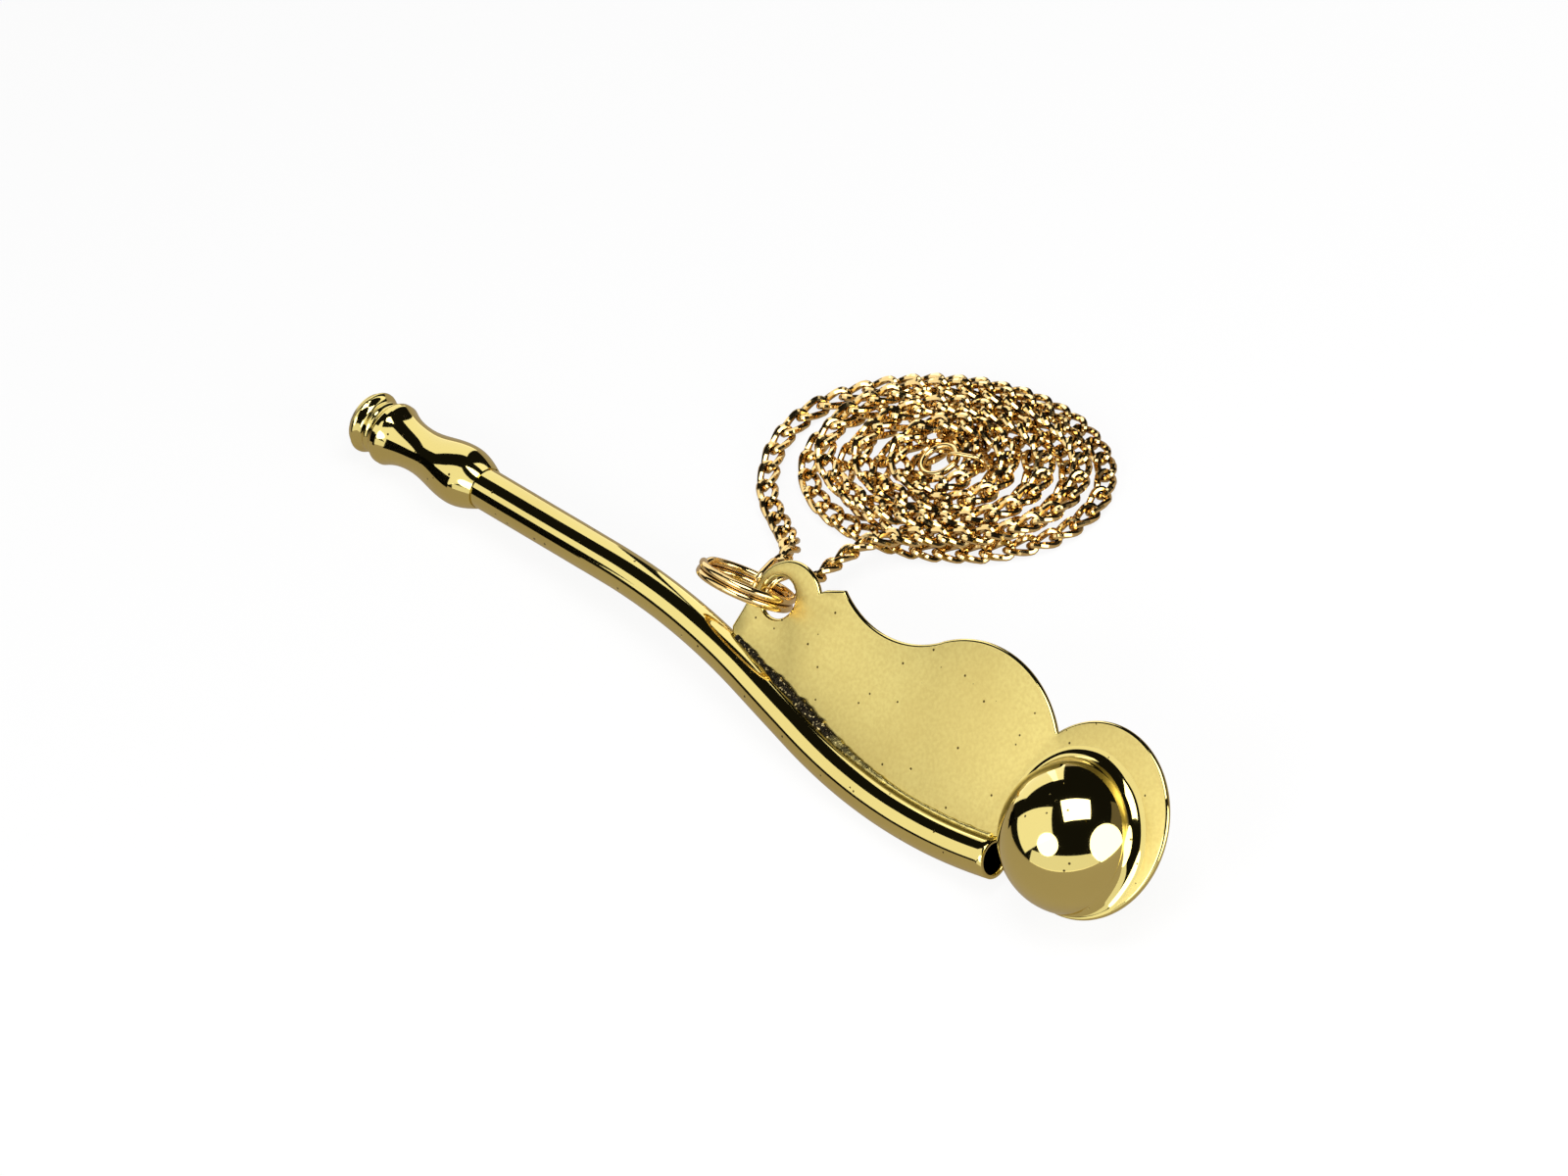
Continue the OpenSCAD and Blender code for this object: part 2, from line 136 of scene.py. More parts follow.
class ChainSizes(bpy.types.PropertyGroup):
    """Sizes of the neck chain and its clasp"""

    chain_d: length("Chain", "Thickness of the chain as a round cord", 1.8)
    end_wire_d: length("End link wire", "Wire of the chain's two end links", 0.8)
    end_straight: length("End link", "Straight length between an end link's round ends", 1.8)
    curb_pitch: length("Curb pitch", "Length that each curb link adds to the chain", 2.75)
    curb_width: length("Curb width", "Outside width of a curb link", 2.6)
    curb_wire_d: length("Curb wire", "Wire of a curb link", 0.82)
    pile_half_l: length("Pile half length", "At the middle of the pile's outer loop", 21.4)
    pile_half_w: length("Pile half width", "At the middle of the pile's outer loop", 13.6)
    pile_inner_r: length("Pile's middle", "Radius of the pile's innermost half turn", 3.8)
    pile_at: spot("Pile's place", "Centre of the pile on the table", (-5.7, 33.6))
    pile_turn: turn("Pile's turn", "Angle of the pile's length on the table", 23)
    clasp_d: length("Clasp ring", "Outside diameter of the clasp ring", 5.2)
    clasp_wire_d: length("Clasp ring wire", "Wire of the clasp ring", 0.8)
    clasp_link_wire_d: length("Clasp link wire", "Wire of the link that holds the clasp ring", 0.5)


class Finishes(bpy.types.PropertyGroup):
    """Colours and polish of the metals"""

    brass: tint("Brass", "Colour of the polished brass", (0.774, 0.644, 0.225))
    brass_stain: tint("Brass stain", "Colour of the brass where it has browned", (0.60, 0.44, 0.13))
    pit: tint("Pits", "Colour of the pits in the brass", (0.10, 0.07, 0.02))
    keel_roughness: share("Keel roughness", "Roughness of the keel's grained faces", 0.34)
    polish_roughness: share("Polish", "Roughness of the polished tube, ball and mouthpiece", 0.05)
    solder: tint("Solder", "Colour of the tarnished solder", (0.020, 0.016, 0.010))
    solder_fleck: tint("Solder flecks", "Colour of the solder's bright flecks", (0.72, 0.58, 0.28))
    gilt: tint("Gilt wire", "Colour of the chain's and rings' wire", (0.86, 0.62, 0.26))
    # Painted shade: the gilt's colour where an ambient occlusion node finds other wire close by, in the
    # crevices between links
    gilt_painted_shade: tint("Gilt shade", "Colour of the gilt wire in its crevices", (0.16, 0.07, 0.015))
    gilt_roughness: share("Gilt polish", "Roughness of the gilt wire", 0.10)


class StudioLook(bpy.types.PropertyGroup):
    """Camera, floor and lights"""

    azimuth: turn("Camera azimuth", "Where the camera stands round the call", 56.28)
    elevation: turn("Camera elevation", "How far the camera looks down", 47.30)
    roll: turn("Camera roll", "Turn of the picture about the view line", -15.62)
    view_width: length("View width", "Width of what the picture shows", 177.78)
    ball_right: length("Ball right of middle", "Place of the ball in the picture", 33.0)
    ball_below: length("Ball below middle", "Place of the ball in the picture", 28.33)
    floor: tint("Floor", "Colour of the floor", (1.0, 1.0, 1.0))
    floor_shade: share("Floor shade", "Share of the floor's white that shadows can take", 0.11)
    floor_bounce: share("Floor bounce", "Share of light that the floor throws back", 0.42)
    floor_mirrored: tint("Floor in metal", "Colour of the floor as the metal mirrors it", (0.37, 0.31, 0.25))
    dim: share("Room", "Brightness of the dark room round the table", 0.008)


# Layout of the call in its own frame: ball's centre at the origin, x from mouthpiece to ball,
# y across the keel towards the lug, z square to the keel's face

def call_layout(call):
    """Places that the pieces share, worked out from the sizes as the CAD model does it"""
    layout = SimpleNamespace()
    layout.gun_r = call.gun_d / 2
    layout.ball_r = call.ball_d / 2
    flange_r = call.flange_d / 2
    a1 = call.bend1_angle
    layout.end_angle = call.bend2_angle - a1
    end_y = (
        -call.bend1_r * (1 - math.cos(a1)) - call.bend_gap * math.sin(a1)
        + call.bend2_r * (math.cos(a1) - math.cos(layout.end_angle))
    )
    end_x = -math.sqrt((layout.ball_r + call.jet_gap) ** 2 - end_y ** 2)
    layout.bend1_start = (
        call.bend1_r * math.sin(a1) + call.bend_gap * math.cos(a1)
        + call.bend2_r * (math.sin(a1) + math.sin(layout.end_angle)) - end_x
    )
    layout.bend1_end = np.array([
        -layout.bend1_start + call.bend1_r * math.sin(a1), -call.bend1_r * (1 - math.cos(a1))
    ])
    layout.bend2_begin = layout.bend1_end + call.bend_gap * heading(-a1)
    layout.bend2_centre = layout.bend2_begin + call.bend2_r * heading(math.pi / 2 - a1)
    layout.gun_end = np.array([end_x, end_y])
    gun_low = layout.bend2_centre - [0, call.bend2_r]
    socket_gap = 0.1 * MM
    layout.gun_start = -call.mouth_reach + call.mouth_l - call.socket_l + socket_gap

    flange_x = 0.9 * MM
    table_gap = 0.05 * MM
    pitch = math.asin((layout.ball_r - flange_r) / (call.mouth_reach - flange_x))
    pitch_dip = call.bend2_r * math.sin(pitch) ** 2 / 1.3
    rise = layout.ball_r - layout.gun_r - table_gap - pitch_dip + gun_low[0] * math.sin(pitch)
    tilt = math.asin(rise / -gun_low[1])
    layout.lay = (
        Matrix.Translation(call.ball_at) @ Matrix.Rotation(-pitch, 4, "Y") @ Matrix.Rotation(tilt, 4, "X")
    )

    layout.lobe_at = np.array([1, 2.6]) * MM
    layout.hump_at = np.array([-19.4, -0.3]) * MM
    hump_turn = math.radians(126.4)
    hump_lap = 0.03 * MM
    layout.hollow_at = layout.hump_at + (call.hump_r + call.hollow_r - hump_lap) * heading(hump_turn)
    layout.lug_at = layout.bend1_end + np.array([1.3, 9.4]) * MM
    layout.lug_hole_at = layout.lug_at + np.array([-1.3, 0.2]) * MM
    layout.cusp_root = layout.lug_at + np.array([4.6, 3.8]) * MM
    layout.cusp = layout.lug_at + np.array([7.6, 5.1]) * MM
    layout.keel_foot = layout.bend1_end[0] - 4.5 * MM
    layout.foot_angle = math.asin((layout.keel_foot + layout.bend1_start) / call.bend1_r)
    layout.foot_y = -call.bend1_r * (1 - math.cos(layout.foot_angle))
    layout.jet_top = layout.gun_end + layout.gun_r * heading(layout.end_angle + math.pi / 2)

    layout.ring_mean_r = (call.ring_d - call.ring_wire_d) / 2
    ring_lift, ring_inset, ring_drop = 0.9 * MM, 0.9 * MM, 0.5 * MM
    ring_back = math.sqrt(layout.ring_mean_r ** 2 - ring_lift ** 2) - ring_inset
    layout.ring_at = np.array([*(layout.lug_hole_at - [ring_back, ring_drop]), ring_lift])
    return layout


def heading(angle):
    """Unit direction in the keel's plane"""
    return np.array([math.cos(angle), math.sin(angle)])


def moved(matrix, points):
    """Points carried along by a placing matrix"""
    m = np.array(matrix)
    return np.asarray(points) @ m[:3, :3].T + m[:3, 3]


def turned(matrix, way):
    """A direction turned by a placing matrix"""
    return np.array(matrix)[:3, :3] @ way


def on_table(layout, points):
    """Points of the call's frame, laid on the table"""
    return moved(layout.lay, points)


def gun_line(call, layout, step):
    """The gun's centreline as rows of x, y and heading"""
    a1, bend1_r, bend2_r = call.bend1_angle, call.bend1_r, call.bend2_r
    straight_l = -layout.bend1_start - layout.gun_start
    straight = np.linspace(layout.gun_start, -layout.bend1_start, max(2, round(straight_l / step)))
    rows = [(x, 0, 0) for x in straight[:-1]]
    for a in np.linspace(0, a1, round(bend1_r * a1 / step))[:-1]:
        rows.append((-layout.bend1_start + bend1_r * math.sin(a), -bend1_r * (1 - math.cos(a)), -a))
    for t in np.linspace(0, call.bend_gap, round(call.bend_gap / step))[:-1]:
        rows.append((*(layout.bend1_end + t * heading(-a1)), -a1))
    for a in np.linspace(-a1, layout.end_angle, round(bend2_r * call.bend2_angle / step)):
        rows.append((*(layout.bend2_centre + bend2_r * heading(a - math.pi / 2)), a))
    return np.array(rows)


# Mesh helpers

def full_turn(count):
    """Even angles once round"""
    return np.arange(count) * 2 * math.pi / count


def grid_faces(rings, sides, closed=False, first=0):
    """Four-sided faces between rings of points that follow one another"""
    faces = []
    for i in range(rings if closed else rings - 1):
        here, there = first + i * sides, first + (i + 1) % rings * sides
        for k in range(sides):
            after = (k + 1) % sides
            faces.append((here + k, here + after, there + after, there + k))
    return faces


def piece(name, points, faces, finish, body, slot, nodes=(), sharp=40, merge=0.0):
    """A named mesh piece of the object, riding a CAD body and standing for CAD nodes"""
    mesh = bpy.data.meshes.new(name)
    mesh.from_pydata(np.asarray(points).tolist(), [], faces)
    shape = bmesh.new()
    shape.from_mesh(mesh)
    if merge:
        bmesh.ops.remove_doubles(shape, verts=shape.verts, dist=merge)
    bmesh.ops.recalc_face_normals(shape, faces=shape.faces)
    shape.to_mesh(mesh)
    shape.free()
    if not mesh.polygons:
        raise RuntimeError(f"{name} came out empty")
    mesh.shade_smooth()
    mesh.set_sharp_from_angle(angle=math.radians(sharp))
    mesh.materials.append(finish)
    made = bpy.data.objects.new(name, mesh)
    bpy.context.scene.collection.objects.link(made)
    if body:
        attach(made, body)
    if nodes:
        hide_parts(*nodes)
    return made


def ways_along(line, closed=False):
    """Unit directions of travel along a line of points"""
    ways = np.roll(line, -1, 0) - np.roll(line, 1, 0) if closed else np.gradient(line, axis=0)
    return ways / np.linalg.norm(ways, axis=1, keepdims=True)


def wire(line, radius, sides, closed=False, square_to=(0, 0, 1)):
    """A round wire along a line, as points and faces; square_to lies about square to the line"""
    line = np.asarray(line, float)
    ways = ways_along(line, closed)
    up = np.broadcast_to(np.asarray(square_to, float), line.shape)
    across = np.cross(up, ways)
    across /= np.linalg.norm(across, axis=1, keepdims=True)
    up = np.cross(ways, across)
    radius = np.broadcast_to(np.asarray(radius, float), (len(line),))
    around = full_turn(sides)
    rings = (
        line[:, None] + radius[:, None, None] * (
            np.cos(around)[None, :, None] * across[:, None] + np.sin(around)[None, :, None] * up[:, None]
        )
    )
    faces = grid_faces(len(line), sides, closed)
    if not closed:
        last = (len(line) - 1) * sides
        faces += [tuple(range(sides))[::-1], tuple(range(last, last + sides))]
    return rings.reshape(-1, 3), faces


def joined(parts):
    """Several (points, faces) as one"""
    points, faces, first = [], [], 0
    for more, around in parts:
        points.append(more)
        faces += [tuple(first + v for v in face) for face in around]
        first += len(more)
    return np.vstack(points), faces


def stadium(mean_r, straight, arc_points=14, straight_points=3):
    """A long round loop in x and y, with one round end about the origin and the other along +x"""
    half = np.linspace(0, math.pi, arc_points)
    run = np.linspace(0, 1, straight_points + 2)[1:-1]
    far = [(straight + mean_r * math.sin(a), -mean_r * math.cos(a)) for a in half]
    top = [(straight * (1 - t), mean_r) for t in run]
    near = [(-mean_r * math.sin(a), mean_r * math.cos(a)) for a in half]
    low = [(straight * t, -mean_r) for t in run]
    return np.array([(x, y, 0) for x, y in far + top + near + low])


def ripple(point, size, seed):
    """Smooth noise of about -1 to 1 with features of the given size"""
    return noise.noise(Vector(point) / size + Vector((seed, 2.3 * seed, 5.1 * seed)))


def sizes():
    """The call's sizes, the chain's sizes and the call's layout"""
    scene = bpy.context.scene
    return scene.call_sizes, scene.chain_sizes, call_layout(scene.call_sizes)


# Finishes

def feed(tree, node, **inputs):
    """Set a node's inputs, by name or as n and a number, to values or to other nodes' outputs"""
    for key, value in inputs.items():
        numbered = key[0] == "n" and key[1:].isdigit()
        socket = node.inputs[int(key[1:]) if numbered else key.replace("_", " ")]
        if isinstance(value, bpy.types.NodeSocket):
            tree.links.new(value, socket)
        else:
            socket.default_value = value


def add_node(tree, kind, settings=None, **inputs):
    """A shader node with its settings and inputs"""
    made = tree.nodes.new(kind)
    for key, value in (settings or {}).items():
        setattr(made, key, value)
    feed(tree, made, **inputs)
    return made


def metal(name, paint, **amounts):
    """The metal finish of that name, painted when it is first asked for"""
    finish = bpy.data.materials.get(name)
    if finish is None:
        finish = bpy.data.materials.new(name)
        finish.use_nodes = True
        tree = finish.node_tree
        place = add_node(tree, "ShaderNodeTexCoord").outputs["Object"]
        painted = paint(tree, place, bpy.context.scene.call_finishes, **amounts)
        feed(tree, tree.nodes["Principled BSDF"], Metallic=1.0, **painted)
    return finish


def noise_value(tree, place, size, detail=3.0):
    """Cloudy noise from 0 to 1 with features of about the given size in metres"""
    made = add_node(tree, "ShaderNodeTexNoise", Vector=place, Scale=1 / size, Detail=detail)
    return made.outputs["Fac"]


def stretched(tree, value, low, high, to_low=0.0, to_high=1.0):
    """A value's range from low to high, spread over another range"""
    made = add_node(tree, "ShaderNodeMapRange", n0=value, n1=low, n2=high, n3=to_low, n4=to_high)
    return made.outputs["Result"]


def blended(tree, weight, first, second):
    """One colour into another by a weight"""
    made = add_node(tree, "ShaderNodeMix", {"data_type": "RGBA"}, Factor=weight, n6=first, n7=second)
    return made.outputs[2]


def combined(tree, operation, first, second):
    """Two values through one step of arithmetic"""
    return add_node(tree, "ShaderNodeMath", {"operation": operation}, n0=first, n1=second).outputs[0]


def opaque(rgb):
    """A colour with nothing showing through"""
    return (*rgb, 1.0)


def bumped(tree, height, depth):
    """Normals of a surface whose height runs from 0 to 1 over a depth"""
    bump = add_node(tree, "ShaderNodeBump", Strength=1.0, Distance=depth, Height=height)
    return bump.outputs["Normal"]


def pit_mask(tree, place, cell, reach, kept):
    """Spots near the middles of a share of random cells"""
    cells = add_node(tree, "ShaderNodeTexVoronoi", Vector=place, Scale=1 / cell)
    near = combined(tree, "LESS_THAN", cells.outputs["Distance"], reach)
    chance = add_node(tree, "ShaderNodeSeparateColor", Color=cells.outputs["Color"]).outputs[0]
    return combined(tree, "MULTIPLY", near, combined(tree, "LESS_THAN", chance, kept))


def paint_brass(tree, place, look, roughness, wave, stain_share, grain_share):
    """Brass with browned clouds, sparse pits and a fine grain"""
    cloud = noise_value(tree, place, size=14 * MM)
    fine = noise_value(tree, place, size=0.45 * MM)
    brown = stretched(tree, cloud, 0.42, 0.75, to_high=stain_share)
    colour = blended(tree, brown, opaque(look.brass), opaque(look.brass_stain))
    speck = stretched(tree, fine, 0.35, 0.65, to_high=grain_share)
    colour = blended(tree, speck, colour, opaque(look.brass_stain))
    pits = pit_mask(tree, place, cell=1.8 * MM, reach=0.085, kept=0.8)
    swell = noise_value(tree, place, size=5 * MM, detail=1.0)
    grain_depth, pit_depth = 0.008, 0.3
    grain = combined(tree, "MULTIPLY", fine, grain_depth)
    height = combined(tree, "ADD", combined(tree, "MULTIPLY", swell, wave), grain)
    dented = combined(tree, "SUBTRACT", height, combined(tree, "MULTIPLY", pits, pit_depth))
    smoothest, roughest = 0.95 * roughness, 1.08 * roughness
    return {
        "Base_Color": blended(tree, pits, colour, opaque(look.pit)),
        "Roughness": stretched(tree, fine, 0.3, 0.7, smoothest, roughest),
        "Normal": bumped(tree, dented, depth=0.05 * MM),
    }


def paint_solder(tree, place, look):
    """Tarnished solder, dark and rough with bright flecks, that turns to clean brass towards the ball"""
    lump = noise_value(tree, place, size=0.5 * MM, detail=5.0)
    fleck = stretched(tree, noise_value(tree, place, size=0.35 * MM, detail=2.0), 0.60, 0.68)
    tarnished = blended(tree, fleck, opaque(look.solder), opaque(look.solder_fleck))
    tarnish_end, clean_start, raggedness = 22 * MM, 34 * MM, 16 * MM
    along = add_node(tree, "ShaderNodeSeparateXYZ", Vector=place).outputs["X"]
    straying = combined(tree, "MULTIPLY", noise_value(tree, place, size=2 * MM), raggedness)
    clean = stretched(tree, combined(tree, "ADD", along, straying), tarnish_end, clean_start)
    lumps_where_clean = 0.25
    lumpy = stretched(tree, clean, 0.0, 1.0, 1.0, lumps_where_clean)
    return {
        "Base_Color": blended(tree, clean, tarnished, opaque(look.brass)),
        "Roughness": 0.25,
        "Normal": bumped(tree, combined(tree, "MULTIPLY", lump, lumpy), depth=0.25 * MM),
    }


def paint_gilt(tree, place, look):
    """Orange gilt wire, with painted shade in its crevices, where an ambient occlusion node finds nearby
    wire
    """
    patch = noise_value(tree, place, size=2.5 * MM)
    crevice = 1.2 * MM
    # Painted shade: an ambient occlusion node darkens the wire's colour wherever other wire lies close, as
    # shade would
    openness = add_node(tree, "ShaderNodeAmbientOcclusion", {"samples": 6}, Distance=crevice).outputs["AO"]
    bright = stretched(tree, openness, 0.2, 0.7)
    smoothest, roughest = 0.8 * look.gilt_roughness, 1.4 * look.gilt_roughness
    return {
        "Base_Color": blended(tree, bright, opaque(look.gilt_painted_shade), opaque(look.gilt)),
        "Roughness": stretched(tree, patch, 0.3, 0.7, smoothest, roughest),
    }


def keel_brass():
    """The keel's satin, lightly stained faces"""
    roughness = bpy.context.scene.call_finishes.keel_roughness
    return metal(
        "satin_keel_brass", paint_brass, roughness=roughness, wave=0.3, stain_share=0.35, grain_share=0.35
    )


def polished_brass():
    """The bright brass of the tube, ball and mouthpiece"""
    roughness = bpy.context.scene.call_finishes.polish_roughness
    return metal(
        "polished_call_brass", paint_brass, roughness=roughness, wave=0.25, stain_share=0.25, grain_share=0.0
    )


def tarnished_solder():
    """The solder along the gun"""
    return metal("tarnished_solder", paint_solder)


def gilt_wire():
    """The wire of the chain, the rings and the clasp"""
    return metal("gilt_chain_wire", paint_gilt)


# Camera

def camera_axes(look):
    """Right, up and back of the camera on the table"""
    a, e, r = look.azimuth, look.elevation, look.roll
    right = np.array([math.cos(a), math.sin(a), 0])
    up = np.array([-math.sin(a) * math.sin(e), math.cos(a) * math.sin(e), math.cos(e)])
    back = np.array([math.sin(a) * math.cos(e), -math.cos(a) * math.cos(e), math.sin(e)])
    return (
        math.cos(r) * right + math.sin(r) * up,
        math.cos(r) * up - math.sin(r) * right,
        back,
    )


class CALL_OT_camera(bpy.types.Operator):
    """Stand the camera where the picture was taken from"""

    bl_idname = "boatswain_call.camera"
    bl_label = "Camera"

    def execute(self, context):
        look = context.scene.studio_look
        right, up, back = camera_axes(look)
        middle = np.array(context.scene.call_sizes.ball_at) - look.ball_right * right + look.ball_below * up
        stand_off = 0.5
        lens = bpy.data.cameras.new("camera")
        lens.type = "ORTHO"
        lens.ortho_scale = look.view_width
        lens.clip_start = 0.01
        lens.clip_end = 10
        camera = bpy.data.objects.new("camera", lens)
        context.scene.collection.objects.link(camera)
        axes = Matrix(np.array([right, up, back]).T.tolist()).to_4x4()
        camera.matrix_world = Matrix.Translation(middle + stand_off * back) @ axes
        context.scene.camera = camera
        return {"FINISHED"}


# Chain

LEFT_LINK_AT = math.radians(-112)
RIGHT_LINK_AT = math.radians(-84)
LINK_LIFT = math.radians(28)
RUN_GAP = 0.25 * MM
LEAD_LINKS = 3
# Degrees round the pile where its chain starts to climb to the upper layer
CLIMB_START = 180
# Points that the chain's free stretches pass, in millimetres on the table
LEFT_ROUTE = [(-10.7, 13.7, 3.4), (-13.4, 15.2, 2), (-17.3, 17.2, 1.2), (-20.7, 18.9, 1)]
RIGHT_ROUTE = [(-4.2, 13.9, 4.3), (-4.4, 16.4, 4), (-3.6, 20, 3.7)]


def end_link_axes(angle):
    """An end link's own length, width and square directions in the call's frame"""
    out = np.array([math.cos(angle), 0, math.sin(angle)])
    side = np.array([0, 1, 0])
    along = math.cos(LINK_LIFT) * out + math.sin(LINK_LIFT) * side
    width = math.cos(LINK_LIFT) * side - math.sin(LINK_LIFT) * out
    return along, width, np.cross(along, width)


def ring_point(layout, angle):
    """A point on the split ring's mean circle"""
    return layout.ring_at + layout.ring_mean_r * np.array([math.cos(angle), 0, math.sin(angle)])


def end_link_inner_r(call):
    """Inside radius of an end link's round ends, loose on the ring's wire"""
    ease = 0.05 * MM
    return call.ring_wire_d + RUN_GAP + ease


def link_tip(call, chain, layout, angle, beyond):
    """A point on an end link's length, beyond its outer end"""
    reach = chain.end_straight + end_link_inner_r(call) + chain.end_wire_d + beyond
    return on_table(layout, ring_point(layout, angle) + reach * end_link_axes(angle)[0])


def soft_step(t):
    """From 0 to 1, level at both ends"""
    return (1 - math.cos(math.pi * t)) / 2


def smooth_line(points, steps=8):
    """A smooth line through points, from the second to the last but one"""
    p = np.asarray(points, float)
    line = []
    for i in range(1, len(p) - 2):
        a, b, d, e = p[i - 1:i + 3]
        for t in np.arange(steps) / steps:
            line.append(0.5 * (
                2 * b + (d - a) * t + (2 * a - 5 * b + 4 * d - e) * t ** 2 + (3 * b - a - 3 * d + e) * t ** 3
            ))
    return np.array(line + [p[-2]])


def layer_heights(chain):
    """Heights of the pile's two layers over the table"""
    table_gap, layer_gap = 0.05 * MM, 0.7 * MM
    low = chain.chain_d / 2 + table_gap
    return low, low + chain.chain_d + layer_gap


def pile_line(chain):
    """The coiled chain: in on the lower layer, a half turn that climbs, out on the upper layer"""
    low, high = layer_heights(chain)
    loop_points, half_turn_points = 24, 12
    in_angle, out_angle = 195, 276
    climb_end = CLIMB_START - 180
    turns_in = 4 + (in_angle - CLIMB_START) / 360
    turns_out = 4 + (climb_end - out_angle) / 360
    half_l, half_w, inner_r = chain.pile_half_l, chain.pile_half_w, chain.pile_inner_r
    step_l = (half_l - inner_r) / turns_in
    step_w = (half_w - inner_r) / turns_in

    def place(out_l, out_w, degrees, z):
        a = math.radians(degrees)
        return out_l * math.cos(a), out_w * math.sin(a), z

    rows = []
    for t in np.linspace(0, turns_in, round(loop_points * turns_in) + 1):
        rows.append(place(half_l - step_l * t, half_w - step_w * t, in_angle - 360 * t, low))
    for t in np.arange(1, half_turn_points) / half_turn_points:
        rows.append(place(inner_r, inner_r, CLIMB_START - 180 * t, low + (high - low) * soft_step(t)))
    for t in np.linspace(0, turns_out, round(loop_points * turns_out) + 1):
        rows.append(place(inner_r + step_l * t, inner_r + step_w * t, climb_end - 360 * t, high))
    spin = np.array(Matrix.Rotation(chain.pile_turn, 3, "Z"))
    return np.array(rows) @ spin.T + np.array([*chain.pile_at, 0])


def chain_line(call, chain, layout):
    """The whole chain's centreline, from inside the left end link to inside the right one"""
    pile = pile_line(chain)
    ways = ways_along(pile)
    lead = chain.chain_d
    face_gap = 0.1 * MM
    inside = -(chain.end_wire_d + chain.curb_wire_d / 2)

    def stretch(angle, route, end, way, beyond):
        reaches = (inside - lead, inside, RUN_GAP, RUN_GAP + lead)
        tips = [link_tip(call, chain, layout, angle, reach) for reach in reaches]
        return smooth_line([*tips, *(np.array(route) * MM), end - lead * way, end - face_gap * way, beyond])

    left = stretch(LEFT_LINK_AT, LEFT_ROUTE, pile[0], ways[0], pile[1])
    right = stretch(RIGHT_LINK_AT, RIGHT_ROUTE, pile[-1], -ways[-1], pile[-2])
    return np.vstack([left, pile, right[::-1]])


class Along:
    """Places along a line by distance travelled"""

    def __init__(self, line):
        self.line = line
        self.far = np.concatenate([[0], np.cumsum(np.linalg.norm(np.diff(line, axis=0), axis=1))])
        self.length = self.far[-1]

    def at(self, distance):
        """Points at one distance or several"""
        return np.array([np.interp(distance, self.far, self.line[:, k]) for k in range(3)]).T


def level_axes(way):
    """Directions beside and over a way along the table, the second as long as the way"""
    side = np.cross(way, [0, 0, 1])
    side /= np.linalg.norm(side)
    return side, np.cross(side, way)


def end_roll(way, square, eighth):
    """Roll of a curb link beside an end link: an eighth of a turn, within a hair for the end link's slant"""
    side, up = level_axes(way)
    roll = math.atan2(square @ up, square @ side) + eighth
    return (roll + math.pi / 2) % math.pi - math.pi / 2


def curb_link(chain, near, far, roll):
    """One curb link: a long loop of round wire, given a quarter twist along its length"""
    half_l = (chain.curb_pitch + chain.curb_wire_d) / 2
    half_w = (chain.curb_width - chain.curb_wire_d) / 2
    loop = stadium(half_w, 2 * (half_l - half_w), arc_points=9, straight_points=4)
    loop[:, 0] -= half_l - half_w
    twist = math.pi / 4 * loop[:, 0] / half_l
    line = np.column_stack([loop[:, 0], loop[:, 1] * np.cos(twist), loop[:, 1] * np.sin(twist)])
    square = np.column_stack([0 * twist, -np.sin(twist), np.cos(twist)])
    points, faces = wire(line, chain.curb_wire_d / 2, sides=8, closed=True, square_to=square)
    way = (far - near) / np.linalg.norm(far - near)
    side, up = level_axes(way)
    across = math.cos(roll) * side + math.sin(roll) * up
    axes = np.array([way, across, np.cross(way, across)])
    placed = points @ axes + (near + far) / 2
    table_gap = 0.02 * MM
    placed[:, 2] = np.maximum(placed[:, 2], table_gap)
    return placed, faces


class CALL_OT_chain(bpy.types.Operator):
    """Lay the curb chain: both leads, the free stretches and the pile"""

    bl_idname = "boatswain_call.chain"
    bl_label = "Chain"

    def execute(self, context):
        call, chain, layout = sizes()
        line = chain_line(call, chain, layout)
        route = Along(line)
        overlap = chain.curb_wire_d
        count = round((route.length - overlap) / chain.curb_pitch)
        pitch = (route.length - overlap) / count
        squares = [turned(layout.lay, end_link_axes(a)[2]) for a in (LEFT_LINK_AT, RIGHT_LINK_AT)]
        roll_share, roll_spread, roll_seed = 0.5, 11 * MM, 3
        settling_links = 5
        links = []
        for k in range(count):
            near, far = route.at(k * pitch), route.at(k * pitch + pitch + overlap)
            roll = roll_share * ripple((k * pitch, 0, 0), roll_spread, roll_seed)
            from_end = min(k, count - 1 - k)
            if from_end < settling_links:
                first = k < count / 2
                square, eighth = (squares[0], math.pi / 4) if first else (squares[1], -math.pi / 4)
                meet = end_roll(far - near, square, eighth)
                roll += (meet - roll) * (1 - from_end / settling_links)
            links.append(curb_link(chain, near, far, roll))
        gilt = gilt_wire()
        pieces = [
            ("chain_left_lead", links[:LEAD_LINKS]),
            ("chain", links[LEAD_LINKS:count - LEAD_LINKS]),
            ("chain_right_lead", links[count - LEAD_LINKS:]),
        ]
        made = [piece(name, *joined(part), gilt, None, "gilt_wire") for name, part in pieces]
        left_lead, long_chain, right_lead = made
        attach(long_chain, "call")
        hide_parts("chain_left_stretch", "chain_pile", "chain_right_stretch")
        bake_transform(left_lead)
        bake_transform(right_lead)
        return {"FINISHED"}


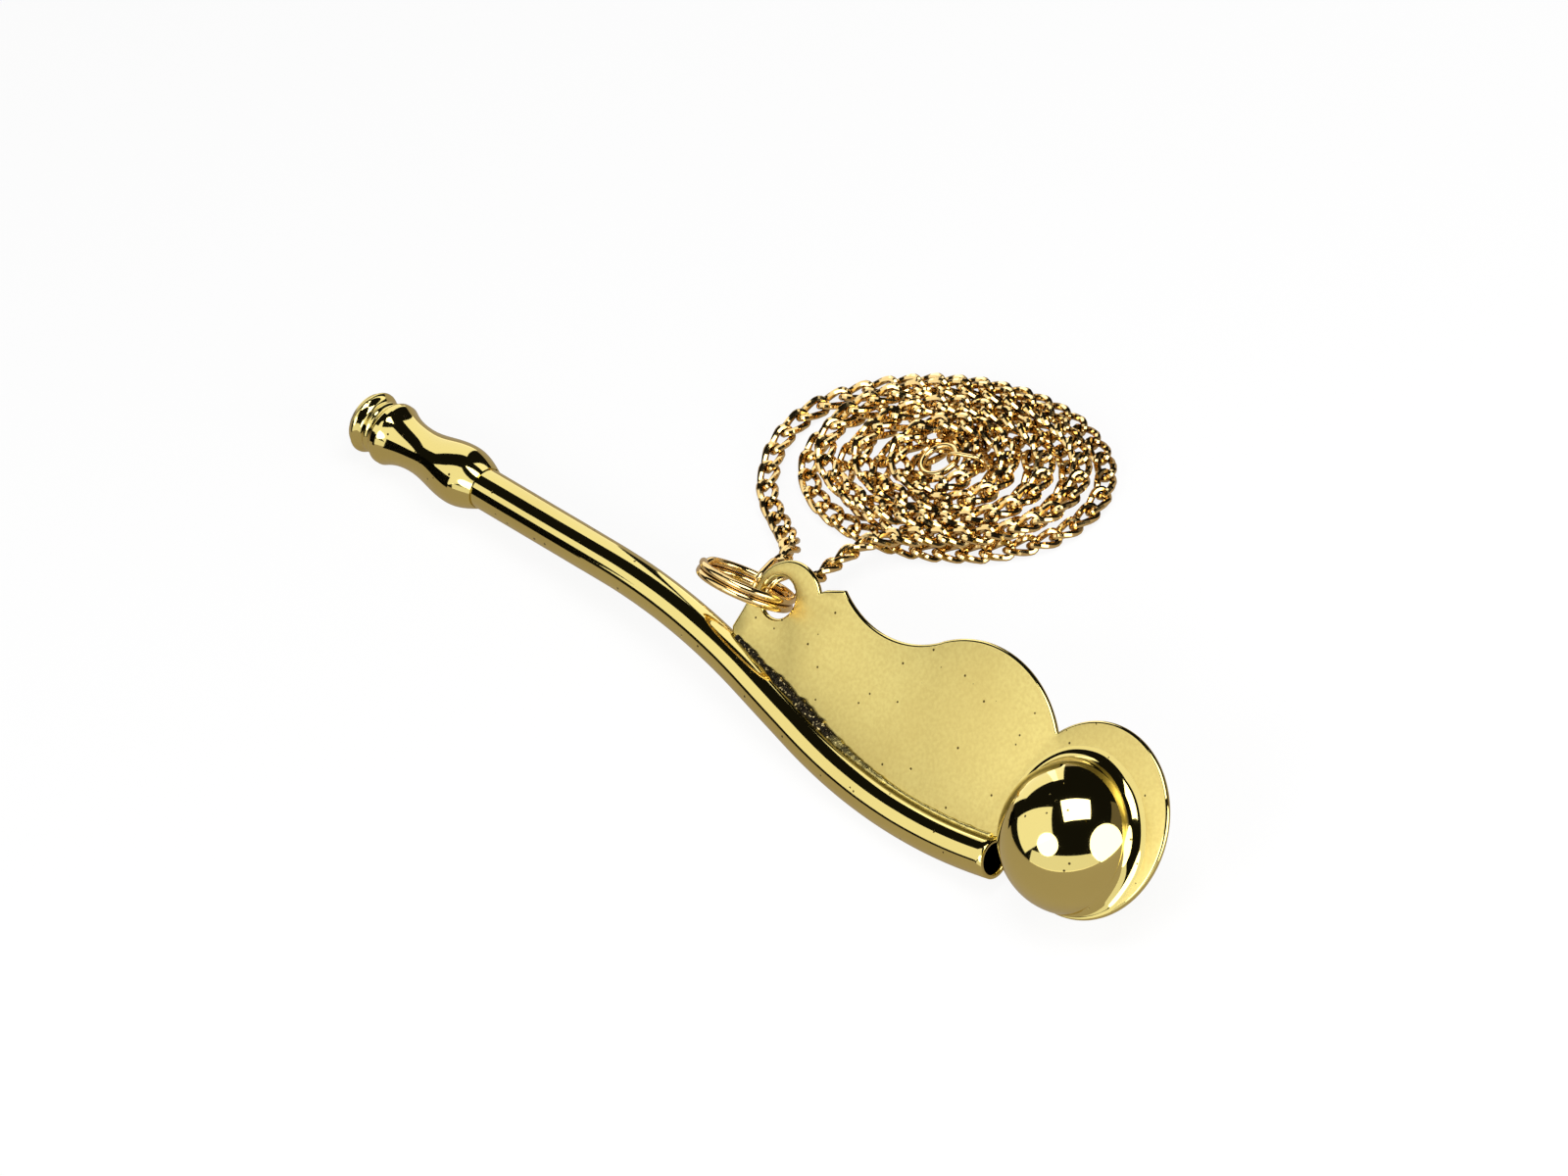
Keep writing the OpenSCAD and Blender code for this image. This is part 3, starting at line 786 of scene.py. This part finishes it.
class CALL_OT_rings(bpy.types.Operator):
    """Wind the split ring and bend the chain's two end links"""

    bl_idname = "boatswain_call.rings"
    bl_label = "Split ring and end links"

    def execute(self, context):
        call, chain, layout = sizes()
        gilt = gilt_wire()
        end_gap = 0.04
        turns = np.linspace(end_gap, 2 - end_gap, 240)
        crossing = math.radians(160)
        half_gap, wire_r = 0.49 * call.ring_wire_d, 0.485 * call.ring_wire_d
        cross_from, cross_span = 0.95, 0.1
        over = np.clip((turns - cross_from) / cross_span, 0, 1)
        offset = half_gap * (2 * over ** 2 * (3 - 2 * over) - 1)
        angle = crossing + 2 * math.pi * turns
        line = layout.ring_at + np.column_stack([
            layout.ring_mean_r * np.cos(angle), offset, layout.ring_mean_r * np.sin(angle)
        ])
        ring = wire(on_table(layout, line), wire_r, sides=20, square_to=turned(layout.lay, (0, 1, 0)))
        piece("split_ring_wire", *ring, gilt, "split_ring", "gilt_wire", ["split_ring"])
        mean_r = end_link_inner_r(call) + chain.end_wire_d / 2
        for body, at in (("left_end_link", LEFT_LINK_AT), ("right_end_link", RIGHT_LINK_AT)):
            along, width, square = end_link_axes(at)
            loop = stadium(mean_r, chain.end_straight)
            line = ring_point(layout, at) + loop[:, :1] * along + loop[:, 1:2] * width
            link = wire(
                on_table(layout, line), chain.end_wire_d / 2, sides=14, closed=True,
                square_to=turned(layout.lay, square),
            )
            piece(body + "_wire", *link, gilt, body, "gilt_wire", [body])
        return {"FINISHED"}


class CALL_OT_clasp(bpy.types.Operator):
    """Hang the clasp ring and its link on the chain"""

    bl_idname = "boatswain_call.clasp"
    bl_label = "Clasp"

    def execute(self, context):
        chain = context.scene.chain_sizes
        gilt = gilt_wire()
        climb_end = (
            Matrix.Translation((*chain.pile_at, layer_heights(chain)[1]))
            @ Matrix.Rotation(chain.pile_turn + math.radians(CLIMB_START - 180), 4, "Z")
            @ Matrix.Translation((chain.pile_inner_r, 0, 0))
            @ Matrix.Rotation(math.pi / 2, 4, "Z")
        )
        drop = 0.8 * MM
        reach = chain.chain_d / 2 + RUN_GAP + chain.clasp_wire_d / 2 + drop
        mean_r = (chain.clasp_d - chain.clasp_wire_d) / 2
        droop = math.radians(-13)
        tilt = Matrix.Rotation(droop, 4, "X")
        hang = climb_end @ Matrix.Translation((0, reach, 0)) @ tilt @ Matrix.Translation((0, mean_r, 0))
        around = full_turn(72)
        circle = np.column_stack([mean_r * np.cos(around), mean_r * np.sin(around), 0 * around])
        ring = wire(
            moved(hang, circle), chain.clasp_wire_d / 2, sides=16, closed=True,
            square_to=turned(hang, (0, 0, 1)),
        )
        piece("clasp_ring_wire", *ring, gilt, "clasp_ring", "gilt_wire", ["clasp_ring"])
        ease = 0.1 * MM
        inner_r = chain.chain_d / 2 + ease
        straight = reach - inner_r + chain.clasp_wire_d / 2 + RUN_GAP
        loop = stadium(inner_r + chain.clasp_link_wire_d / 2, straight)
        upright = np.column_stack([0 * loop[:, 0], loop[:, 0], loop[:, 1]])
        link = wire(
            moved(climb_end, upright), chain.clasp_link_wire_d / 2, sides=12, closed=True,
            square_to=turned(climb_end, (1, 0, 0)),
        )
        piece("clasp_link_wire", *link, gilt, "call", "gilt_wire", ["clasp_link"])
        return {"FINISHED"}


# Brass call

def turned_ring(x, r, sides):
    """A ring of points round the call's x axis"""
    around = full_turn(sides)
    return np.column_stack([np.full(sides, x), r * np.cos(around), r * np.sin(around)])


def shoulder_step(t):
    """From 0 to 1, level at both ends and most of it early"""
    earliness = 0.52
    return soft_step(t ** earliness)


def round_step(t):
    """From 0 to 1 as a quarter round"""
    return 1 - math.cos(math.pi / 2 * t)


class CALL_OT_mouthpiece(bpy.types.Operator):
    """Turn the mouthpiece, with its flange, swells, bore and socket"""

    bl_idname = "boatswain_call.mouthpiece"
    bl_label = "Mouthpiece"

    def execute(self, context):
        call, _, layout = sizes()
        flange_r = call.flange_d / 2
        front_edge_r, groove_r = flange_r - 0.4 * MM, flange_r - 0.65 * MM
        bead_r, second_groove_r = flange_r - 0.45 * MM, flange_r - 0.6 * MM
        front_r, waist_r, rear_r = call.front_swell_d / 2, call.waist_d / 2, call.rear_swell_d / 2
        end_r = layout.gun_r + 0.15 * MM
        stations = [
            (0, front_edge_r, soft_step),
            (0.7 * MM, flange_r, soft_step),
            (1.8 * MM, groove_r, soft_step),
            (2.3 * MM, bead_r, soft_step),
            (2.8 * MM, second_groove_r, soft_step),
            (3.8 * MM, front_r, soft_step),
            (4.3 * MM, front_r, shoulder_step),
            (8.6 * MM, waist_r, soft_step),
            (call.mouth_l - 3.8 * MM, rear_r, round_step),
        ]
        end = (call.mouth_l, end_r)
        steps = 12
        outside = []
        for (x0, r0, step), (x1, r1, *_) in zip(stations, [*stations[1:], end]):
            for t in np.arange(steps) / steps:
                outside.append((x0 + (x1 - x0) * t, r0 + (r1 - r0) * step(t)))
        outside.append(end)
        bore_r = call.mouth_bore_d / 2
        countersink = 0.6 * MM
        seat = 0.02 * MM
        floor_x = call.mouth_l - call.socket_l - seat
        inside = [
            (call.mouth_l, layout.gun_r + seat), (floor_x, layout.gun_r + seat), (floor_x, bore_r),
            (countersink, bore_r), (0, bore_r + countersink),
        ]
        profile = outside + inside
        sides = 72
        rings = [turned_ring(x - call.mouth_reach, r, sides) for x, r in profile]
        points = on_table(layout, np.vstack(rings))
        piece(
            "mouthpiece_turned", points, grid_faces(len(profile), sides, True), polished_brass(),
            "call", "polished_brass", ["mouthpiece"], sharp=32,
        )
        return {"FINISHED"}


class CALL_OT_gun(bpy.types.Operator):
    """Bend the gun tube, open at both ends"""

    bl_idname = "boatswain_call.gun"
    bl_label = "Gun"

    def execute(self, context):
        call, _, layout = sizes()
        rows = gun_line(call, layout, 0.9 * MM)
        bore_r = layout.gun_r - call.gun_wall
        edge = 0.08 * MM
        sides = 56
        around = full_turn(sides)
        unevenness, dent_size, seed = 0.012 * MM, 5 * MM, 1

        def ring(row, r, back=0.0, uneven=0.0):
            x, y, a = row
            way, up = heading(a), heading(a + math.pi / 2)
            flat = np.array([x, y]) - back * way
            radius = np.full(sides, r)
            if uneven:
                spots = [(x, y + r * math.cos(k), r * math.sin(k)) for k in around]
                radius += [uneven * ripple(p, dent_size, seed) for p in spots]
            across = (radius * np.cos(around))[:, None] * up
            return np.column_stack([flat + across, radius * np.sin(around)])

        rings = [ring(rows[0], layout.gun_r - edge), ring(rows[0], layout.gun_r, -edge)]
        rings += [ring(row, layout.gun_r, 0, unevenness) for row in rows[1:-1]]
        rings += [ring(rows[-1], layout.gun_r, edge), ring(rows[-1], layout.gun_r - edge)]
        rings += [ring(rows[-1], bore_r + edge), ring(rows[-1], bore_r, edge)]
        rings += [ring(row, bore_r) for row in rows[-2:0:-1]]
        rings += [ring(rows[0], bore_r)]
        points = on_table(layout, np.vstack(rings))
        piece(
            "gun_tube", points, grid_faces(len(rings), sides, True), polished_brass(),
            "call", "polished_brass", ["gun"], sharp=50,
        )
        return {"FINISHED"}


def arc(centre, r, start, stop, step=0.25 * MM):
    """Points along an arc, from one angle to another"""
    count = max(3, math.ceil(abs(stop - start) * r / step))
    return [centre + r * heading(a) for a in np.linspace(start, stop, count + 1)]


def angle_of(v):
    """Angle of a direction in the keel's plane"""
    return math.atan2(v[1], v[0])


def arc_between(centre, r, first, last):
    """Points along an arc, from one point on it to another"""
    return arc(centre, r, angle_of(first - centre), angle_of(last - centre))


def line_meets_circle(a, b, centre, r):
    """First point from a towards b that lies on a circle"""
    way, back = b - a, a - centre
    p, q, w = way @ way, 2 * back @ way, back @ back - r * r
    root = math.sqrt(q * q - 4 * p * w)
    shares = sorted(t for t in ((-q - root) / (2 * p), (-q + root) / (2 * p)) if t >= 0)
    return a + shares[0] * way


def circles_meet(a, ra, b, rb):
    """The point where two circles cross, on the left of the line from a to b"""
    gap = b - a
    d = math.hypot(*gap)
    along = (d * d + ra * ra - rb * rb) / (2 * d)
    off = math.sqrt(ra * ra - along * along)
    way = gap / d
    return a + along * way + off * np.array([-way[1], way[0]])


def keel_outline(call, layout):
    """The keel's edge, clockwise from its foot on the gun, over lug, hollow, hump and lobe, and back"""
    sunk = layout.gun_r - 0.25 * MM
    toe, neck = np.array([0, layout.gun_r + 0.6 * MM]), np.array([0.4, 5.2]) * MM
    foot_up = heading(math.pi / 2 - layout.foot_angle)
    foot = np.array([layout.keel_foot, layout.foot_y])
    edge = [foot + sunk * foot_up, foot + toe, foot + neck]
    edge += arc(layout.lug_at, call.lug_r, math.pi, angle_of(layout.cusp_root - layout.lug_at))
    edge.append(layout.cusp_root)
    tip = line_meets_circle(layout.cusp_root, layout.cusp, layout.hollow_at, call.hollow_r)
    to_hollow = layout.hollow_at - layout.hump_at
    meet = layout.hump_at + call.hump_r * to_hollow / np.linalg.norm(to_hollow)
    edge += arc_between(layout.hollow_at, call.hollow_r, tip, meet)
    dip = circles_meet(layout.hump_at, call.hump_r, layout.lobe_at, call.lobe_r)
    edge += arc_between(layout.hump_at, call.hump_r, meet, dip)[1:]
    jet_way, jet_up = heading(layout.end_angle), heading(layout.end_angle + math.pi / 2)
    corner = layout.jet_top - layout.jet_top[0] * jet_way
    lobe_end = line_meets_circle(corner, corner - jet_up, layout.lobe_at, call.lobe_r)
    edge += arc_between(layout.lobe_at, call.lobe_r, dip, lobe_end)[1:]
    middle, window_r = np.zeros(2), call.window_d / 2
    window_in = line_meets_circle(corner, corner - jet_up, middle, window_r)
    window_out = line_meets_circle(corner, corner - jet_way, middle, window_r)
    edge += arc(middle, window_r, angle_of(window_in), angle_of(window_out) + 2 * math.pi, step=0.5 * MM)
    edge.append(layout.jet_top)
    back = 0.3 * MM
    rows = [row for row in gun_line(call, layout, 1.0 * MM) if layout.keel_foot < row[0]]
    for x, y, a in rows[::-1]:
        here = np.array([x, y])
        if (layout.gun_end - here) @ jet_way > back:
            edge.append(here + sunk * heading(a + math.pi / 2))
    return np.array(edge)


def inset_loop(loop, inset):
    """A closed loop moved to its left by inset"""
    ways = np.roll(loop, -1, 0) - loop
    ways /= np.linalg.norm(ways, axis=1, keepdims=True)
    lefts = np.column_stack([-ways[:, 1], ways[:, 0]])
    before = np.roll(lefts, 1, 0)
    least_spread = 0.5
    spread = np.maximum(1 + np.sum(before * lefts, axis=1, keepdims=True), least_spread)
    return loop + inset * (before + lefts) / spread


class CALL_OT_keel(bpy.types.Operator):
    """Cut the keel plate, with its lug hole and rounded edges"""

    bl_idname = "boatswain_call.keel"
    bl_label = "Keel"

    def execute(self, context):
        call, _, layout = sizes()
        around = full_turn(72)
        hole = layout.lug_hole_at + call.lug_hole_d / 2 * np.column_stack([np.cos(around), -np.sin(around)])
        half_t, edge_r = call.keel_t / 2, call.keel_edge
        quarter = np.radians([0, 30, 60, 90])
        lip = [(edge_r * (1 - math.sin(q)), half_t - edge_r * (1 - math.cos(q))) for q in quarter]
        profile = lip + [(inset, -z) for inset, z in lip[::-1]]
        plate = bmesh.new()
        faces_of = {0: [], len(profile) - 1: []}
        for loop in (keel_outline(call, layout)[::-1], hole):
            rings = []
            for inset, z in profile:
                at = np.column_stack([inset_loop(loop, inset), np.full(len(loop), z)])
                rings.append([plate.verts.new(p) for p in on_table(layout, at)])
            for near, far in zip(rings, rings[1:]):
                for k in range(len(loop)):
                    after = (k + 1) % len(loop)
                    plate.faces.new((near[k], near[after], far[after], far[k]))
            for ring_number, edges in faces_of.items():
                ring = rings[ring_number]
                edges += [plate.edges.get((ring[k], ring[(k + 1) % len(loop)])) for k in range(len(loop))]
        rim_count = len(plate.faces)
        for edges in faces_of.values():
            bmesh.ops.triangle_fill(plate, use_beauty=True, edges=edges)
        plate.verts.index_update()
        points = [tuple(v.co) for v in plate.verts]
        faces = [tuple(v.index for v in f.verts) for f in plate.faces]
        plate.free()
        keel = piece("keel_plate", points, faces, keel_brass(), "call", "polished_brass", ["keel"], sharp=35)
        keel.data.materials.append(polished_brass())
        for face in keel.data.polygons[:rim_count]:
            face.material_index = 1
        return {"FINISHED"}


class CALL_OT_ball(bpy.types.Operator):
    """Press the ball's two half shells, with the sound hole across both"""

    bl_idname = "boatswain_call.ball"
    bl_label = "Ball"

    def execute(self, context):
        call, _, layout = sizes()
        hole_turn = math.radians(10)
        aim = heading(angle_of(layout.gun_end) - hole_turn)
        axis = np.array([*aim, 0])
        across = np.array([-aim[1], aim[0], 0])
        hole_r = call.sound_hole_d / 2
        steps, sweep_steps = 90, 90
        for name, side in (("front", 1), ("rear", -1)):
            square = np.array([0, 0, side])
            layers = []
            for r in (layout.ball_r, layout.ball_r - call.ball_wall):
                polar = np.linspace(math.asin(hole_r / r), math.pi, steps)
                sweep = np.linspace(0, math.pi, sweep_steps)
                out = np.cos(sweep)[:, None] * across + np.sin(sweep)[:, None] * square
                layers.append(r * (
                    np.cos(polar)[None, :, None] * axis + np.sin(polar)[None, :, None] * out[:, None]
                ))
            profile = np.concatenate([layers[0], layers[1][:, ::-1]], axis=1)
            per = profile.shape[1]
            points = on_table(layout, profile.reshape(-1, 3))
            faces = grid_faces(sweep_steps, per)
            for rim in (0, (sweep_steps - 1) * per):
                faces += [
                    (rim + k, rim + k + 1, rim + per - 2 - k, rim + per - 1 - k) for k in range(steps - 1)
                ]
            piece(
                f"ball_{name}_half", points, faces, polished_brass(), "call", "polished_brass",
                [f"buoy_{name}_shell"], sharp=50, merge=1e-6,
            )
        return {"FINISHED"}


def gun_bead_radii(call, line, seed):
    """Radii of the hand-run bead along the gun: lumpy, and heaviest near the lug"""
    extra, heaviest_at, spread = 1.6, 0.3, 0.18
    lump_share, long_lump, short_lump = 0.3, 3.5 * MM, 0.9 * MM
    radii = []
    for k, p in enumerate(line):
        heavy = 1 + extra * math.exp(-((k / len(line) - heaviest_at) / spread) ** 2)
        lumps = lump_share * (ripple(p, long_lump, seed) + ripple(p, short_lump, seed + 4))
        radii.append(call.gun_bead_r * heavy * (1 + lumps))
    return radii


def ball_fillet(call, layout, side):
    """The polished fillet of solder between the ball's foot and one face of the keel"""
    level = call.keel_t / 2
    spare, sunk, ball_lap, least = 0.15 * MM, 0.1 * MM, 0.3 * MM, 0.04 * MM
    wave, wave_size, seed = 0.12, 4 * MM, 12 + side
    first, last, free_from = np.radians([-70, 192, 110])
    steps = 12
    rows = []
    for a in np.linspace(first, last, 240):
        way = heading(a)
        lean = layout.lobe_at @ way
        edge = lean + math.sqrt(lean ** 2 - layout.lobe_at @ layout.lobe_at + call.lobe_r ** 2) - spare
        room = (edge ** 2 - layout.ball_r ** 2 + level ** 2) / (2 * (layout.ball_r - level))
        at_foot = (*way * layout.ball_r, side * level)
        wanted = call.ball_fillet_r * (1 + wave * ripple(at_foot, wave_size, seed))
        if a > free_from:
            room = wanted
        r = max(least, min(room, wanted))
        reach = math.sqrt((layout.ball_r + r) ** 2 - (level + r) ** 2)
        section = [
            (reach + r * math.cos(q), level + r + r * math.sin(q))
            for q in np.linspace(math.atan2(-level - r, -reach), -math.pi / 2, steps)
        ]
        section += [(reach, level - sunk), (layout.ball_r - ball_lap, level - sunk)]
        rows.append([(*(out * way), side * z) for out, z in section])
    per = steps + 2
    faces = grid_faces(len(rows), per)
    end = (len(rows) - 1) * per
    faces += [tuple(range(per)), tuple(range(end, end + per))]
    return on_table(layout, np.array(rows).reshape(-1, 3)), faces


class CALL_OT_solder(bpy.types.Operator):
    """Run the solder beads along the gun and round the ball's foot, on both sides"""

    bl_idname = "boatswain_call.solder"
    bl_label = "Solder"

    def execute(self, context):
        call, _, layout = sizes()
        start, spare_rows = layout.keel_foot + 0.6 * MM, 4
        rows = [row for row in gun_line(call, layout, 0.25 * MM) if row[0] > start][:-spare_rows]
        for name, side in (("front", 1), ("rear", -1)):
            corner = np.array([
                (*(np.array([x, y]) + layout.gun_r * heading(a + math.pi / 2)), side * call.keel_t / 2)
                for x, y, a in rows
            ])
            bead = wire(on_table(layout, corner), gun_bead_radii(call, corner, seed=7 + side), sides=10)
            piece(
                f"gun_solder_{name}", *bead, tarnished_solder(), "call", "solder_bead",
                [f"gun_seam_{name}"], sharp=180,
            )
            piece(
                f"ball_solder_{name}", *ball_fillet(call, layout, side), polished_brass(), "call",
                "solder_bead", [f"buoy_seam_{name}"],
            )
        return {"FINISHED"}


# Stage

def sky(azimuth, elevation):
    """Direction on the sky over the table"""
    a, e = math.radians(azimuth), math.radians(elevation)
    return Vector((math.cos(e) * math.cos(a), math.cos(e) * math.sin(a), math.sin(e)))


def panel_light(
    name, at, facing, across, width, height, radiance, colour=(1, 1, 1), shape="RECTANGLE", standing=False
):
    """A flat even light that metal mirrors at the given brightness

    A standing one lights the metal only, so that it draws no line on the floor.
    """
    lamp = bpy.data.lights.new(name, "AREA")
    lamp.shape = shape
    lamp.size = width
    lamp.size_y = height
    area = width * height * (math.pi / 4 if shape == "ELLIPSE" else 1)
    lamp.energy = math.pi * area * radiance
    lamp.color = colour
    made = bpy.data.objects.new(name, lamp)
    bpy.context.scene.collection.objects.link(made)
    back = -Vector(facing).normalized()
    right = Vector(across)
    right = (right - right.dot(back) * back).normalized()
    axes = Matrix((right, back.cross(right), back)).transposed().to_4x4()
    made.matrix_world = Matrix.Translation(at) @ axes
    made.visible_camera = False
    made.visible_diffuse = not standing


def floor_finish(look):
    """White to the camera, keeping the object's shadow, and pale in the metal"""
    finish = bpy.data.materials.new("pale_floor")
    finish.use_nodes = True
    tree = finish.node_tree
    tree.nodes.clear()
    rays = add_node(tree, "ShaderNodeLightPath").outputs
    lit = add_node(tree, "ShaderNodeBsdfDiffuse", Color=opaque([look.floor_bounce * x for x in look.floor]))
    shaded = add_node(tree, "ShaderNodeBsdfDiffuse", Color=opaque(look.floor))
    shown = blended(tree, rays["Is Camera Ray"], opaque(look.floor_mirrored), opaque(look.floor))
    glow = add_node(tree, "ShaderNodeEmission", Strength=1.0, Color=shown)
    glow_share = 1 - look.floor_shade
    seen = add_node(
        tree, "ShaderNodeMixShader", n0=glow_share, n1=shaded.outputs[0], n2=glow.outputs[0]
    )
    mirrored = combined(tree, "MAXIMUM", rays["Is Glossy Ray"], rays["Is Transmission Ray"])
    in_sight = combined(tree, "MAXIMUM", rays["Is Camera Ray"], mirrored)
    chosen = add_node(tree, "ShaderNodeMixShader", n0=in_sight, n1=lit.outputs[0], n2=seen.outputs[0])
    add_node(tree, "ShaderNodeOutputMaterial", Surface=chosen.outputs[0])
    return finish


def stage_sheet(name, corners, finish):
    """A flat four-cornered sheet of the studio"""
    mesh = bpy.data.meshes.new(name)
    mesh.from_pydata(corners, [], [(0, 1, 2, 3)])
    mesh.materials.append(finish)
    sheet = bpy.data.objects.new(name, mesh)
    bpy.context.scene.collection.objects.link(sheet)
    return sheet


def flag_finish():
    """Black cloth, for what the metal mirrors"""
    finish = bpy.data.materials.new("black_cloth")
    finish.use_nodes = True
    tree = finish.node_tree
    black = (0.01, 0.01, 0.01, 1.0)
    feed(tree, tree.nodes["Principled BSDF"], Base_Color=black, Roughness=1.0, Specular_IOR_Level=0.0)
    return finish


def dark_flag():
    """A low black screen before the call, which only the metal mirrors"""
    left, right, near, top = -0.26, -0.062, -0.05, 0.036
    corners = [(left, near, 0), (right, near, 0), (right, near, top), (left, near, top)]
    flag = stage_sheet("dark_flag", corners, flag_finish())
    flag.visible_camera = False
    flag.visible_diffuse = False
    flag.visible_shadow = False


def studio_lights(ball):
    """The soft box over the call, two round lamps, and the cards that its metal mirrors"""
    panel_light(
        "softbox", ball + Vector((0.061, 0.075, 0.39)), facing=(0, 0, -1), across=sky(50, 0),
        width=0.29, height=0.237, radiance=5.0,
    )
    lean, lean_distance, slide = sky(-128, 43), 0.33, 0.04 * sky(-128, -47)
    panel_light(
        "leaning_card", ball + lean_distance * lean + slide, facing=-lean, across=sky(-38, -26),
        width=0.29, height=0.36, radiance=1.15,
    )
    panel_light(
        "back_card", (-0.172, 0.0377, 0.0615), facing=(0.54, -0.84, 0), across=(0.84, 0.54, 0),
        width=0.195, height=0.123, radiance=1.2, standing=True,
    )
    panel_light(
        "narrow_card", (-0.042, 0.06, 0.045), facing=(0.685, -0.73, 0), across=(0.73, 0.685, 0),
        width=0.024, height=0.088, radiance=1.3, standing=True,
    )
    lamps = [("left_lamp", sky(-88, 34), 0.4, 16), ("right_lamp", sky(11, 16), 0.3, 26)]
    for name, way, distance, half_angle in lamps:
        wide = 2 * distance * math.tan(math.radians(half_angle))
        panel_light(
            name, ball + distance * way, facing=-way, across=way.cross((0, 0, 1)),
            width=wide, height=wide, radiance=4.2, shape="ELLIPSE",
        )
    card_distance = 0.35
    front, lift = sky(-60, 0), Vector((0, 0, 0.07))
    panel_light(
        "front_card", ball + card_distance * front + lift, facing=-front, across=sky(30, 0),
        width=0.8, height=0.156, radiance=1.0, standing=True,
    )
    far = sky(55, 14)
    panel_light(
        "far_card", ball + card_distance * far, facing=-far, across=sky(145, 0),
        width=0.2, height=0.18, radiance=0.15, colour=(1.0, 0.85, 0.7),
    )


def dim_room(look):
    """The world round the table: white to the camera and nearly dark to everything else"""
    world = bpy.data.worlds.new("room")
    world.use_nodes = True
    tree = world.node_tree
    rays = add_node(tree, "ShaderNodeLightPath").outputs
    strength = stretched(tree, rays["Is Camera Ray"], 0.0, 1.0, look.dim, 1.0)
    feed(tree, tree.nodes["Background"], Color=opaque((1, 1, 1)), Strength=strength)
    return world


class CALL_OT_stage(bpy.types.Operator):
    """Lay the pale floor and set the soft studio lights round it"""

    bl_idname = "boatswain_call.stage"
    bl_label = "Stage"

    def execute(self, context):
        scene = context.scene
        look = scene.studio_look
        half = 1.5
        floor_corners = [(-half, -half, 0), (half, -half, 0), (half, half, 0), (-half, half, 0)]
        stage_sheet("floor", floor_corners, floor_finish(look))
        dark_flag()
        studio_lights(Vector(scene.call_sizes.ball_at))
        scene.world = dim_room(look)
        scene.view_settings.view_transform = "Standard"
        return {"FINISHED"}


# Add-on

OPERATORS = (
    CALL_OT_camera, CALL_OT_chain, CALL_OT_rings, CALL_OT_clasp, CALL_OT_mouthpiece, CALL_OT_gun,
    CALL_OT_keel, CALL_OT_ball, CALL_OT_solder, CALL_OT_stage,
)
GROUPS = {
    "call_sizes": CallSizes, "chain_sizes": ChainSizes, "call_finishes": Finishes, "studio_look": StudioLook
}


class CALL_PT_pieces(bpy.types.Panel):
    """The call's pieces, each with its own button"""

    bl_idname = "CALL_PT_pieces"
    bl_label = "Boatswain Call"
    bl_space_type = "VIEW_3D"
    bl_region_type = "UI"
    bl_category = "Boatswain Call"

    def draw(self, context):
        for operator in OPERATORS:
            self.layout.operator(operator.bl_idname)
        for name in GROUPS:
            box = self.layout.box()
            group = getattr(context.scene, name)
            for key in group.bl_rna.properties.keys():
                if key not in ("rna_type", "name"):
                    box.prop(group, key)


def register():
    """Make the property groups, operators and panel known to Blender"""
    for kind in (*GROUPS.values(), *OPERATORS, CALL_PT_pieces):
        bpy.utils.register_class(kind)
    for name, kind in GROUPS.items():
        setattr(bpy.types.Scene, name, bpy.props.PointerProperty(type=kind))


def unregister():
    """Take back what register made known"""
    for name in GROUPS:
        delattr(bpy.types.Scene, name)
    for kind in reversed((*GROUPS.values(), *OPERATORS, CALL_PT_pieces)):
        bpy.utils.unregister_class(kind)


def main():
    """Build every piece and the stage"""
    register()
    bpy.ops.boatswain_call.camera()
    bpy.ops.boatswain_call.chain()
    bpy.ops.boatswain_call.rings()
    bpy.ops.boatswain_call.clasp()
    bpy.ops.boatswain_call.mouthpiece()
    bpy.ops.boatswain_call.gun()
    bpy.ops.boatswain_call.keel()
    bpy.ops.boatswain_call.ball()
    bpy.ops.boatswain_call.solder()
    bpy.ops.boatswain_call.stage()


if __name__ == "__main__":
    main()
